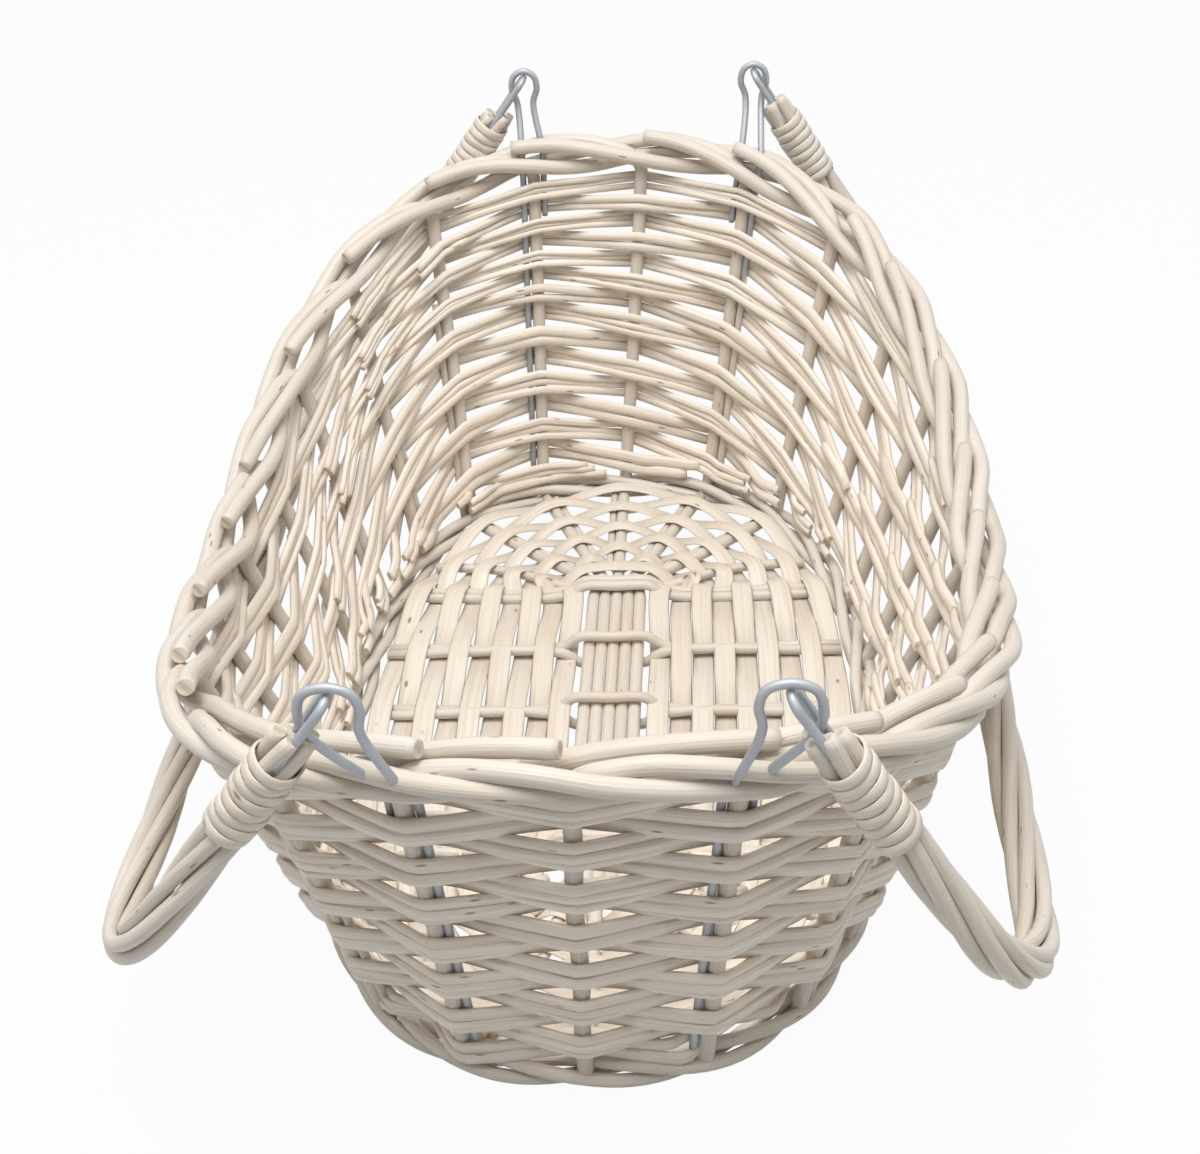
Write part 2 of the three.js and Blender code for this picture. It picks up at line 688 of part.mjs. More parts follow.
for (let k = 0; k < STAKE_COUNT; k++) {
  place(basket, `stake_${String(k + 1).padStart(2, '0')}`, stake(k), willow);
}
for (let i = 0; i < ROW_COUNT; i++) {
  place(basket, `siding_row_${String(i + 1).padStart(2, '0')}`, sidingRow(i), willow);
}
place(basket, 'foot_wale', wale(), willow);
const holes = wireHoles();
for (let j = 0; j < BORDER_RODS; j++) place(basket, `border_rod_${j + 1}`, borderRod(j, holes), willow);
place(basket, 'base_long_sticks', longSticks(), peeled);
for (let n = 0; n < CROSS_PAIRS; n++) place(basket, `base_cross_pair_${n + 1}`, crossPair(n), peeled);
place(basket, 'base_skein', baseWeave(), peeled);
for (const corner of corners) place(basket, `rim_wire_${corner.name}`, rimWire(corner), zinc);

for (const [name, side] of [['left', -1], ['right', 1]]) {
  const handle = new THREE.Group();
  const hung = hang(side);
  place(handle, `${name}_handle_bow`, bow(hung), willow);
  for (const [endName, end] of [['front', -1], ['rear', 1]]) {
    place(handle, `${name}_handle_eye_${endName}`, eye(hung, end), zinc);
    const rings = bindingRings(hung, end);
    place(handle, `${name}_handle_binding_${endName}`, loft(rings, false), peeled);
    const gap = leastGap(rings, BINDING_STEPS).toFixed(2);
    console.log(`${name} ${endName} binding: least gap to itself ${gap} mm`);
  }
  basket.add(handle);
  const spot = hung.middle.toArray().map((value) => value.toFixed(2)).join(', ');
  const line = hung.axis.toArray().map((value) => value.toFixed(5)).join(', ');
  const rest = THREE.MathUtils.radToDeg(hung.angle).toFixed(2);
  console.log(`${name} handle: pivot line through ${spot} mm along ${line}, hangs ${rest} degrees from straight down`);
}
export default basket;
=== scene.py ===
# Looks of the willow basket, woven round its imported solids.
import math
import random
from collections import namedtuple

import bmesh
import bpy
from bpy.props import FloatProperty, FloatVectorProperty, IntProperty, PointerProperty
from mathutils import Matrix, Vector


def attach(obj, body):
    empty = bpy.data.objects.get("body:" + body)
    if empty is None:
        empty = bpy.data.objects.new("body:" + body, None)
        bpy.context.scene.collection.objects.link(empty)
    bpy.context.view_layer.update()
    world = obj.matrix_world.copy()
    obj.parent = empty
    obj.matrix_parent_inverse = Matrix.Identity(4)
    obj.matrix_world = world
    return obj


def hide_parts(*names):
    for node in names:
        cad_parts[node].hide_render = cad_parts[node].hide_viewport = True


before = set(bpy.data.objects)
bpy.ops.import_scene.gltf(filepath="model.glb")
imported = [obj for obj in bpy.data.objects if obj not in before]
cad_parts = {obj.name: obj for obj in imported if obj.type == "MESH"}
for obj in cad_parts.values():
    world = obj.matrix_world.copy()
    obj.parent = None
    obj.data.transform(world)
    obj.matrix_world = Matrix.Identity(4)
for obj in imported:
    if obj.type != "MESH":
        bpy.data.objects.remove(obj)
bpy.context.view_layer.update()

bl_info = {
    "name": "Willow Basket",
    "version": (1, 0, 0),
    "blender": (4, 5, 0),
    "location": "3D View > Sidebar > Basket",
    "description": "Weaves a willow basket with two drop handles",
    "category": "Add Mesh",
}

UP = Vector((0, 0, 1))
MM = 0.001

# Stakes are counted from the far end towards +X, and places between them are counted in stakes too.
STAKES = 24
QUARTER = STAKES // 4


def length(name, text, default):
    return FloatProperty(name=name, description=text, default=default, unit="LENGTH", subtype="DISTANCE")


def ratio(name, text, default):
    return FloatProperty(name=name, description=text, default=default)


def number(name, text, default):
    return IntProperty(name=name, description=text, default=default)


def colour(name, text, default):
    return FloatVectorProperty(
        name=name, description=text, default=default, size=4, subtype="COLOR", min=0, max=1
    )


class BasketSizes(bpy.types.PropertyGroup):
    """Sizes of the basket's body."""

    rim_half_width: length("Rim half width", "Half the width on the stakes' line at the rim", 0.160)
    rim_half_length: length("Rim half length", "Half the length on the stakes' line at the rim", 0.238)
    rim_squareness: ratio("Rim squareness", "2 is an ellipse", 2.57)
    base_half_width: length("Base half width", "Half the width on the stakes' line at the floor", 0.118)
    base_half_length: length("Base half length", "Half the length on the stakes' line at the floor", 0.203)
    base_squareness: ratio("Base squareness", "2 is an ellipse", 2.54)
    side_height: length("Side height", "Height of the border's middle at the sides", 0.108)
    end_height: length("End height", "Height of the border's middle at the ends", 0.1845)
    saddle_power: ratio("Saddle power", "How late the rim rises towards the ends", 1.27)
    stake_radius: length("Stake radius", "Half a stake's thickness", 0.00325)
    border_radius: length("Border radius", "Half the border's depth", 0.0102)
    wale_height: length("Wale height", "Height of the rods twined round the foot", 0.014)
    rows: number("Rows", "Rows of slewing at the ends", 14)
    full_rows: number("Full rows", "Siding rows that run all the way round", 7)
    far_crowding: ratio("Far crowding", "How much closer the top rows lie at the far end", 0.045)
    climb_left: length("Climb left", "How far the rows climb to the left of the far end", 0.022)
    drop_right: length("Drop right", "How far the rows drop to the right of the far end", 0.014)
    lean_all: ratio("Lean all", "Stakes' lean round the rim, in stake spacings", 0.08)
    lean_ends: ratio("Lean ends", "Stakes' lean towards +X at the ends, in stake spacings", 0.19)
    strand_width: length("Strand width", "Width of a siding rod where three lie together", 0.0044)
    strand_thickness: length("Strand thickness", "Thickness of a siding rod", 0.0029)


class BaseSizes(bpy.types.PropertyGroup):
    """Sizes of the woven base."""

    stick_radius: length("Stick radius", "Half a long stick's thickness", 0.0030)
    stick_pitch: length("Stick pitch", "From one long stick to the next", 0.0058)
    level: length("Level", "Height of the sticks' middle", 0.009)
    fan_start: length("Fan start", "Where the long sticks start to spread", 0.106)
    cross_radius: length("Cross rod radius", "Half a cross rod's thickness", 0.0025)
    cross_pitch: length("Cross pitch", "From one pair of cross rods to the next", 0.0465)
    cross_shift: length("Cross shift", "How far the pairs lie towards the far end", 0.007)
    cross_gap: length("Cross gap", "From one rod of a pair to the other", 0.0048)
    skein_width: length("Skein width", "Width of a peeled skein", 0.0101)
    skein_thickness: length("Skein thickness", "Thickness of a peeled skein", 0.0011)
    rings: number("Rings", "Turns of the skein", 9)


class HandleSizes(bpy.types.PropertyGroup):
    """Sizes of the wire loops, eyes and handles."""

    wire_radius: length("Wire radius", "Half the wire's thickness", 0.0016)
    spread_front: length("Front spread", "How far the front loops lean outwards across the basket", 0.014)
    spread_rear: length("Rear spread", "How far the rear loops lean outwards across the basket", 0.003)
    link_lean: length("Link lean", "How far the loops lean outwards along the basket", 0.015)
    link_rise: length("Link rise", "How far the loops rise over the stakes' line", 0.039)
    outside_rim: length("Outside rim", "Grip's distance outside the stakes' line at the rim", 0.003)
    below_rim: length("Below rim", "Grip's distance below the border's middle", 0.038)
    corner: length("Corner", "Bend at each end of the grip", 0.065)
    rod_radius: length("Rod radius", "Half a handle rod's thickness", 0.0028)
    rods: number("Rods", "Rods in a handle", 5)
    lay: length("Lay", "Length of one turn of the rods", 0.260)
    start: length("Start", "From the pivot line to the rod ends", 0.020)
    turns: number("Turns", "Turns of each binding", 8)
    binding_width: length("Binding width", "Width of the binding skein", 0.0043)


class Finishes(bpy.types.PropertyGroup):
    """Colours of the willow and the wire."""

    pale: colour("Siding willow", "Peeled willow of the siding", (0.92, 0.845, 0.748, 1))
    thick: colour("Thick willow", "Peeled willow of the border, stakes and handles", (0.74, 0.685, 0.61, 1))
    streak: colour("Willow streak", "Fibres and stains of the willow", (0.60, 0.485, 0.365, 1))
    skein: colour("Skein", "Peeled skein of the base and bindings", (0.79, 0.727, 0.635, 1))
    cut: colour("Cut end", "Cut end of a rod", (0.70, 0.59, 0.45, 1))
    wire: colour("Wire", "Zinc wire", (0.37, 0.39, 0.42, 1))
    floor: colour("Floor", "Floor and background", (0.60, 0.60, 0.60, 1))


def clamp(value, low=0.0, high=1.0):
    return max(low, min(high, value))


# The basket's shape

OVAL_SAMPLES = 1440
SLOPE_STEP = 0.02

# A place on the wall: its foot, the ways up, along and out, and the length up to the rim
Station = namedtuple("Station", "foot rise along out reach")


class Oval:
    """A squared oval, walked by equal lengths from its far end towards +X."""

    def __init__(self, half_width, half_length, squareness):
        self.points = []
        self.lengths = [0.0]
        for i in range(OVAL_SAMPLES + 1):
            s, c = math.sin(math.tau * i / OVAL_SAMPLES), math.cos(math.tau * i / OVAL_SAMPLES)
            x = math.copysign(abs(s) ** (2 / squareness), s) * half_width
            y = math.copysign(abs(c) ** (2 / squareness), c) * half_length
            self.points.append(Vector((x, y, 0)))
            if i:
                self.lengths.append(self.lengths[-1] + (self.points[-1] - self.points[-2]).length)

    def at(self, share):
        target = (share % 1) * self.lengths[-1]
        low, high = 0, len(self.lengths) - 1
        while high - low > 1:
            middle = (low + high) // 2
            if self.lengths[middle] <= target:
                low = middle
            else:
                high = middle
        part = (target - self.lengths[low]) / (self.lengths[high] - self.lengths[low])
        return self.points[low].lerp(self.points[high], part)


class Wall:
    """The line of the stakes from the foot to the rim, all the way round."""

    def __init__(self, sizes):
        self.sizes = sizes
        self.rim = Oval(sizes.rim_half_width, sizes.rim_half_length, sizes.rim_squareness)
        self.base = Oval(sizes.base_half_width, sizes.base_half_length, sizes.base_squareness)
        self.known = {}

    def edges(self, share):
        s = self.sizes
        lean = s.lean_all + s.lean_ends * math.cos(math.tau * share)
        rim = self.rim.at(share + lean / STAKES)
        end = abs(rim.y / s.rim_half_length) ** (s.rim_squareness * s.saddle_power / 2)
        rim.z = s.side_height + (s.end_height - s.side_height) * end
        return self.base.at(share), rim

    def station(self, place, chord=0.0):
        """The station at a place counted in stakes. Chord straightens the wall from stake to stake."""
        key = (round(place % STAKES, 4), chord)
        if key in self.known:
            return self.known[key]
        foot, rim = self.edges(place / STAKES)
        if chord:
            k = math.floor(place)
            part = place - k
            foot_a, rim_a = self.edges(k / STAKES)
            foot_b, rim_b = self.edges((k + 1) / STAKES)
            foot = foot.lerp(foot_a.lerp(foot_b, part), chord)
            rim = rim.lerp(rim_a.lerp(rim_b, part), chord)
        rise = (rim - foot).normalized()
        foot_0, rim_0 = self.edges((place - SLOPE_STEP) / STAKES)
        foot_1, rim_1 = self.edges((place + SLOPE_STEP) / STAKES)
        along = rim_1 - rim_0 + foot_1 - foot_0
        along = (along - rise * along.dot(rise)).normalized()
        out = along.cross(rise)
        if out.x * rim.x + out.y * rim.y < 0:
            out = -out
        self.known[key] = Station(foot, rise, along, out, (rim - foot).length)
        return self.known[key]


def from_end(place, end):
    """How many stakes a place lies from one end of the basket, less than 0 on its left."""
    return (place - end + STAKES / 2) % STAKES - STAKES / 2


# Lines and rods

TINY = 1e-7
WELD = 1e-6

# A rod is this much smaller at its cut ends.
CUT_SIZE = 0.86

# Each rod's grain starts somewhere else in the willow, up to this far along it and round it.
GRAIN_SHIFT, GRAIN_TURN = 40, 4


def between(a, b, low, high, t):
    """The point a share of the way from a to b, as t lies from low to high."""
    return a + (b - a) * ((t - low) / (high - low))


def smooth_line(points, steps):
    """A smooth line through the points, with the same number of steps between each two."""
    ends = [points[0] * 2 - points[1], *points, points[-1] * 2 - points[-2]]
    line = []
    for a, b, c, d in zip(ends, ends[1:], ends[2:], ends[3:]):
        t1 = max((b - a).length, TINY) ** 0.5
        t2 = t1 + max((c - b).length, TINY) ** 0.5
        t3 = t2 + max((d - c).length, TINY) ** 0.5
        for i in range(steps):
            t = t1 + (t2 - t1) * i / steps
            before = between(a, b, 0, t1, t)
            middle = between(b, c, t1, t2, t)
            after = between(c, d, t2, t3, t)
            early = between(before, middle, 0, t2, t)
            late = between(middle, after, t1, t3, t)
            line.append(between(early, late, t1, t2, t))
    line.append(points[-1].copy())
    return line


def even_values(values, steps):
    """Values between the given ones, in even steps."""
    made = [a.lerp(b, i / steps) for a, b in zip(values, values[1:]) for i in range(steps)]
    return made + [values[-1].copy()]


def start_piece():
    bm = bmesh.new()
    bm.loops.layers.uv.new("UVMap")
    bm.verts.layers.float.new("tone")
    return bm


def rod(bm, line, outs, wide, thick, chance, sides=10, closed=False, square=1.0, taper=1.0):
    """A rod along a line, with its half width and, along outs, its half thickness.

    Outs, wide and thick are lists with a value for each point, or one value for all of them.
    Square under 1 flattens the rod's sides.
    """
    outs, wide, thick = (
        values if isinstance(values, list) else [values] * len(line) for values in (outs, wide, thick)
    )
    steps = len(line) if closed else len(line) - 1
    spots, reach = [], [0.0]
    for i in range(steps + 1):
        here = i % len(line)
        before = line[(here - 1) % len(line)] if closed else line[max(here - 1, 0)]
        after = line[(here + 1) % len(line)] if closed else line[min(here + 1, len(line) - 1)]
        tangent = (after - before).normalized()
        out = (outs[here] - tangent * outs[here].dot(tangent)).normalized()
        size = 1 + (taper - 1) * i / steps
        if not closed and i in (0, steps):
            size *= CUT_SIZE
        spots.append((line[here], tangent.cross(out) * wide[here] * size, out * thick[here] * size))
        if i:
            reach.append(reach[-1] + (spots[-1][0] - spots[-2][0]).length)
    made = bmesh.ops.create_grid(bm, x_segments=steps, y_segments=sides, size=1, calc_uvs=True)["verts"]
    faces = {face for v in made for face in v.link_faces}
    run_grain(bm, faces, reach, math.pi * (wide[0] + thick[0]), chance)
    tone = bm.verts.layers.float["tone"]
    shade = chance.random()
    seam = []
    for v in made:
        i, j = round((v.co.x + 1) / 2 * steps), round((v.co.y + 1) / 2 * sides)
        centre, across, out = spots[i]
        c, s = math.cos(math.tau * j / sides), math.sin(math.tau * j / sides)
        c, s = math.copysign(abs(c) ** square, c), math.copysign(abs(s) ** square, s)
        v.co = centre + across * c + out * s
        v[tone] = shade
        if j in (0, sides) or (closed and i in (0, steps)):
            seam.append(v)
    bmesh.ops.remove_doubles(bm, verts=seam, dist=WELD)
    if not closed:
        close_ends(bm, faces)


def run_grain(bm, faces, reach, around, chance):
    """Lay the grain along a rod's length and round it, in metres, from a place of its own."""
    uv = bm.loops.layers.uv.active
    shift, turn = chance.uniform(0, GRAIN_SHIFT), chance.uniform(0, GRAIN_TURN)
    steps = len(reach) - 1
    for face in faces:
        face.smooth = True
        for loop in face.loops:
            u, v = loop[uv].uv
            loop[uv].uv = (reach[round(u * steps)] + shift, v * around + turn)


def close_ends(bm, faces):
    """Close a rod's two cut ends with flat faces, whose grain is centred on the pith."""
    uv = bm.loops.layers.uv.active
    rim = {e for face in faces if face.is_valid for e in face.edges if e.is_boundary}
    for face in bmesh.ops.holes_fill(bm, edges=list(rim), sides=0)["faces"]:
        face.material_index = 1
        face.smooth = False
        middle = face.calc_center_median()
        for loop in face.loops:
            offset = loop.vert.co - middle
            loop[uv].uv = (offset.x + offset.z, offset.y)


def end_piece(bm, name, body, materials, replaced=()):
    bmesh.ops.recalc_face_normals(bm, faces=bm.faces[:])
    mesh = bpy.data.meshes.new(name)
    bm.to_mesh(mesh)
    bm.free()
    for material in materials:
        mesh.materials.append(material)
    piece = bpy.data.objects.new(name, mesh)
    bpy.context.scene.collection.objects.link(piece)
    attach(piece, body)
    if replaced:
        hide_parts(*replaced)


# Finishes

# The colour sockets of a Mix node
FACTOR, FIRST, SECOND, MIXED = 0, 6, 7, 2
SPECK_BROWN = (0.16, 0.09, 0.045, 1)


def new_material(name):
    """A new material, with its node tree and its shader."""
    material = bpy.data.materials.new(name)
    material.use_nodes = True
    return material, material.node_tree, material.node_tree.nodes["Principled BSDF"]


def add_node(tree, kind, values=None, **settings):
    """A new node with its settings, and values for its sockets."""
    node = tree.nodes.new(kind)
    for name, value in settings.items():
        setattr(node, name, value)
    set_values(node, values or {})
    return node


def set_values(node, values):
    for socket, value in values.items():
        node.inputs[socket].default_value = value


def link(tree, source, output, target, field):
    tree.links.new(source.outputs[output], target.inputs[field])


def willow_grain():
    """Fibres, stains and specks that run along a rod's own length."""
    name = "Willow Grain"
    if name in bpy.data.node_groups:
        return bpy.data.node_groups[name]
    tree = bpy.data.node_groups.new(name, "ShaderNodeTree")
    for field, kind in (("Vector", "Vector"), ("Tone", "Float"), ("Pale", "Color"), ("Streak", "Color")):
        tree.interface.new_socket(field, in_out="INPUT", socket_type=f"NodeSocket{kind}")
    for field, kind in (("Color", "Color"), ("Roughness", "Float"), ("Height", "Float")):
        tree.interface.new_socket(field, in_out="OUTPUT", socket_type=f"NodeSocket{kind}")
    given, result = add_node(tree, "NodeGroupInput"), add_node(tree, "NodeGroupOutput")

    def scaled(along, across):
        node = add_node(tree, "ShaderNodeVectorMath", {1: (along, across, 1)}, operation="MULTIPLY")
        link(tree, given, "Vector", node, 0)
        return node

    def stretched(along, across, detail, rough=0.55):
        noise = add_node(tree, "ShaderNodeTexNoise", {"Scale": 1, "Detail": detail, "Roughness": rough})
        link(tree, scaled(along, across), 0, noise, "Vector")
        return noise

    def spread(source, low, high, to_low=0.0, to_high=1.0):
        ends = {"From Min": low, "From Max": high, "To Min": to_low, "To Max": to_high}
        node = add_node(tree, "ShaderNodeMapRange", ends)
        link(tree, source, 0, node, "Value")
        return node

    def darkened(factor, source, output):
        node = add_node(tree, "ShaderNodeMix", data_type="RGBA")
        link(tree, factor, 0, node, FACTOR)
        link(tree, source, output, node, FIRST)
        return node

    fibres = stretched(14, 1250, 4, 0.62)
    stains = stretched(16, 160, 2)
    slow = stretched(5, 12, 1)
    shade = add_node(tree, "ShaderNodeMath", operation="ADD")
    link(tree, given, "Tone", shade, 0)
    link(tree, spread(slow, 0.3, 0.7, -0.5, 0.5), 0, shade, 1)
    toned = darkened(spread(shade, 0.1, 1.5, 0, 0.34), given, "Pale")
    lined = darkened(spread(fibres, 0.45, 0.74, 0, 0.62), toned, MIXED)
    stained = darkened(spread(stains, 0.56, 0.80, 0, 0.55), lined, MIXED)
    for node in (toned, lined, stained):
        link(tree, given, "Streak", node, SECOND)
    specks = add_node(tree, "ShaderNodeTexVoronoi", {"Scale": 1})
    link(tree, scaled(38, 210), 0, specks, "Vector")
    marked = darkened(spread(specks, 0.05, 0.10, 0.75, 0), stained, MIXED)
    set_values(marked, {SECOND: SPECK_BROWN})
    link(tree, marked, MIXED, result, "Color")
    link(tree, spread(fibres, 0.3, 0.7, 0.40, 0.58), 0, result, "Roughness")
    link(tree, spread(fibres, 0.3, 0.75, 1, 0), 0, result, "Height")
    return tree


def willow(name, pale, streak, bump=0.4, coat=0.12):
    """Peeled willow, with its grain along the rod."""
    material, tree, shader = new_material(name)
    grain = add_node(tree, "ShaderNodeGroup", node_tree=willow_grain())
    set_values(grain, {"Pale": pale, "Streak": streak})
    where = add_node(tree, "ShaderNodeTexCoord")
    tone = add_node(tree, "ShaderNodeAttribute", attribute_name="tone")
    rough = add_node(tree, "ShaderNodeBump", {"Strength": bump, "Distance": 0.6 * MM})
    link(tree, where, "UV", grain, "Vector")
    link(tree, tone, "Fac", grain, "Tone")
    link(tree, grain, "Color", shader, "Base Color")
    link(tree, grain, "Roughness", shader, "Roughness")
    link(tree, grain, "Height", rough, "Height")
    link(tree, rough, "Normal", shader, "Normal")
    set_values(shader, {"Coat Weight": coat, "Coat Roughness": 0.35})
    return material


def cut_willow(name, pale, cut):
    """Cut end of a rod: pale wood with flecks, round a darker pith."""
    material, tree, shader = new_material(name)
    where = add_node(tree, "ShaderNodeTexCoord")
    size = add_node(tree, "ShaderNodeVectorMath", operation="LENGTH")
    pith = add_node(tree, "ShaderNodeMapRange", {"From Min": 0.4 * MM, "From Max": 2.2 * MM})
    wood = add_node(tree, "ShaderNodeMix", data_type="RGBA")
    set_values(wood, {FIRST: cut, SECOND: pale})
    flecks = add_node(tree, "ShaderNodeTexNoise", {"Scale": 900, "Detail": 2})
    flecked = add_node(tree, "ShaderNodeMix", {FACTOR: 0.45}, data_type="RGBA", blend_type="MULTIPLY")
    link(tree, where, "UV", size, 0)
    link(tree, where, "UV", flecks, "Vector")
    link(tree, size, "Value", pith, "Value")
    link(tree, pith, 0, wood, FACTOR)
    link(tree, wood, MIXED, flecked, FIRST)
    link(tree, flecks, 0, flecked, SECOND)
    link(tree, flecked, MIXED, shader, "Base Color")
    set_values(shader, {"Roughness": 0.8})
    return material


def zinc_wire(name, base):
    """Galvanised wire, a little uneven in tone, gloss and surface."""
    material, tree, shader = new_material(name)
    where = add_node(tree, "ShaderNodeTexCoord")
    noise = add_node(tree, "ShaderNodeTexNoise", {"Scale": 420, "Detail": 3})
    tint = add_node(tree, "ShaderNodeMix", data_type="RGBA")
    set_values(tint, {FIRST: base, SECOND: (base[0] * 1.25, base[1] * 1.25, base[2] * 1.22, 1)})
    rough = add_node(tree, "ShaderNodeMapRange", {"To Min": 0.48, "To Max": 0.68})
    bump = add_node(tree, "ShaderNodeBump", {"Strength": 0.15, "Distance": 0.3 * MM})
    link(tree, where, "Object", noise, "Vector")
    link(tree, noise, 0, tint, FACTOR)
    link(tree, tint, MIXED, shader, "Base Color")
    link(tree, noise, 0, rough, "Value")
    link(tree, rough, 0, shader, "Roughness")
    link(tree, noise, 0, bump, "Height")
    link(tree, bump, "Normal", shader, "Normal")
    set_values(shader, {"Metallic": 0.6})
    return material


def finish(name):
    """A piece's materials, its surface's and its cut ends'. All of them are made at the first call."""
    made = bpy.data.materials
    if "Cut Willow" not in made:
        looks = bpy.context.scene.basket_finishes
        cut_willow("Cut Willow", looks.pale[:], looks.cut[:])
        willow("Siding Willow", looks.pale[:], looks.streak[:])
        willow("Thick Willow", looks.thick[:], looks.streak[:], coat=0.18)
        willow("Peeled Skein", looks.skein[:], looks.streak[:], bump=0.3, coat=0.2)
        zinc_wire("Zinc Wire", looks.wire[:])
    ends = name if name == "Zinc Wire" else "Cut Willow"
    return made[name], made[ends]


# Siding

# A rod's line has this many steps from stake to stake, and is this straight between them.
ROW_STEPS = 12
CHORD = 0.85
SIDING_SIDES = 8
SIDING_SQUARE = 0.66

# Rods leave this much play at stakes and border, and stray this far from their line.
PLAY = 0.0002
BORDER_PLAY = 0.0004
RIPPLE = 0.0002

# Worked in pairs the rods are wider than in threes, and they follow the rows' distance within limits.
PAIR_WIDTH = 1.36
NARROWEST, WIDEST = 0.72, 1.15

# How much slimmer the rods are at the far end, and thicker at the near end
SLIMMING = 0.12

# A strand's rods lie this share of the rows' distance apart, and more so away from the stakes.
FAN, FAN_BETWEEN = 0.30, 0.06

# The share of a rod's bow round the stakes that is round, where the rest is straight
ROUND_BOW = 0.12

# Over this share of a stake spacing a rod's end slips inside the stakes, by so many thicknesses.
END_EASE = 0.55
START_INSIDE, STOP_INSIDE = 1.25, 0.5

# The lowest row keeps this share of the rows' distance above the foot.
LOWEST = 0.35

# Beside the far end the rows slant from here on down, and fully this share of the siding lower.
SLANT_FROM, SLANT_OVER = 0.1, 0.4

# Of each five rows, these are worked in pairs.
PAIRED_ROWS = (1, 3)

# As the rows climb and drop beside the far end, this many more fit above the foot there.
SLANTED_ROWS = 3

# A full row's first rods start near this stake, on the left wall.
FIRST_CUT = 21

# The foot's rods rise this much higher where the stakes stand out more.
WALE_REACH = 0.0055

RUN_PARTS = 10
SOLID_ROWS = 10


def siding_span(sizes, station):
    """The siding's top, as a distance up the stake, and its depth."""
    top = station.reach - sizes.border_radius - BORDER_PLAY
    bottom = (sizes.wale_height + WALE_REACH * abs(station.out.z)) / station.rise.z
    return top, top - bottom


def row_depth(sizes, place, station, row, whole):
    """How far below the siding's top a row's middle runs."""
    share = (row + 0.5) / sizes.rows
    far = max(0.0, (station.foot.y + station.rise.y * station.reach) / sizes.rim_half_length) ** 2
    depth = whole * (share - sizes.far_crowding * far * math.sin(math.pi * min(share, 1)))
    aside = from_end(place, 0)
    if far and abs(aside) < QUARTER:
        most = sizes.climb_left if aside < 0 else sizes.drop_right
        depth += most * math.sin(math.pi * aside / QUARTER) * clamp((share - SLANT_FROM) / SLANT_OVER)
    return depth


def lay_strand(bm, wall, row, lane, lanes, start, stop, chance):
    """One siding rod, from one place to another counted in stakes, over one stake and under the next."""
    sizes = wall.sizes
    whole = siding_span(sizes, wall.station(0.0))[1]
    pitch = whole / sizes.rows
    width = sizes.strand_width * (PAIR_WIDTH if lanes == 2 else 1.0) * chance.uniform(0.93, 1.07)
    waves = [chance.uniform(0, math.tau) for _ in range(4)]
    line, outs, wide = [], [], []
    count = round((stop - start) * ROW_STEPS)
    for i in range(count + 1):
        place = start + (stop - start) * i / count
        station = wall.station(place, CHORD)
        top, room = siding_span(sizes, station)
        above, middle, below = (
            row_depth(sizes, place, station, row + part, whole) for part in (-0.5, 0, 0.5)
        )
        slim = 1 - SLIMMING * station.foot.y / sizes.base_half_length
        swing = math.cos(math.pi * (place + row))
        part = abs(math.asin(clamp(swing, -1, 1))) / (math.pi / 2)
        fan = (FAN + FAN_BETWEEN * part) * (below - above) * slim * (3 / lanes)
        depth = min(middle, room - LOWEST * pitch) + (lane - (lanes - 1) / 2) * fan
        depth += 2 * RIPPLE * math.sin(place * 1.3 + waves[0]) + RIPPLE * math.sin(place * 4.1 + waves[1])
        bow = ROUND_BOW * swing + (1 - ROUND_BOW) * math.copysign(part, swing)
        side = bow * (sizes.stake_radius + sizes.strand_thickness / 2 + PLAY)
        sway = RIPPLE * math.sin(place * 2.3 + waves[2])
        side += (PLAY + 2 * PLAY * (1 - part)) * (lane % 2 * 2 - 1) + sway
        ease = max(0.0, 1 - min(i, count - i) / ROW_STEPS / END_EASE)
        if ease:
            inside = -sizes.stake_radius - sizes.strand_thickness * (
                START_INSIDE if i < count - i else STOP_INSIDE
            )
            side += (inside - side) * min(1.0, ease * 1.6)
        line.append(station.foot + station.rise * (top - depth) + station.out * side)
        outs.append(station.out)
        wide.append(width / 2 * slim * clamp((below - above) / pitch, NARROWEST, WIDEST))
    taper = chance.uniform(0.88, 1.0)
    thick = sizes.strand_thickness / 2
    rod(bm, line, outs, wide, thick, chance, sides=SIDING_SIDES, square=SIDING_SQUARE, taper=taper)


def row_runs(wall, row):
    """The stretches of the basket's round, counted in stakes, where a row fits above the foot."""
    sizes = wall.sizes
    whole = siding_span(sizes, wall.station(0.0))[1]
    slack = 0.1 * whole / sizes.rows
    count = STAKES * RUN_PARTS
    places = [(i - count / 2) / RUN_PARTS for i in range(count)]
    fits = []
    for place in places:
        station = wall.station(place, CHORD)
        fits.append(row_depth(sizes, place, station, row, whole) - slack < siding_span(sizes, station)[1])
    if all(fits):
        return [(-QUARTER - 0.1, QUARTER + 0.1), (QUARTER - 0.1, 3 * QUARTER + 0.1)]
    runs = []
    first = fits.index(False)
    start = None
    for step in range(count + 1):
        here = places[first] + step / RUN_PARTS
        fit = fits[(first + step) % count]
        if fit and start is None:
            start = here
        if not fit and start is not None:
            if here - start > 0.9:
                runs.append((start, here))
            start = None
    return runs


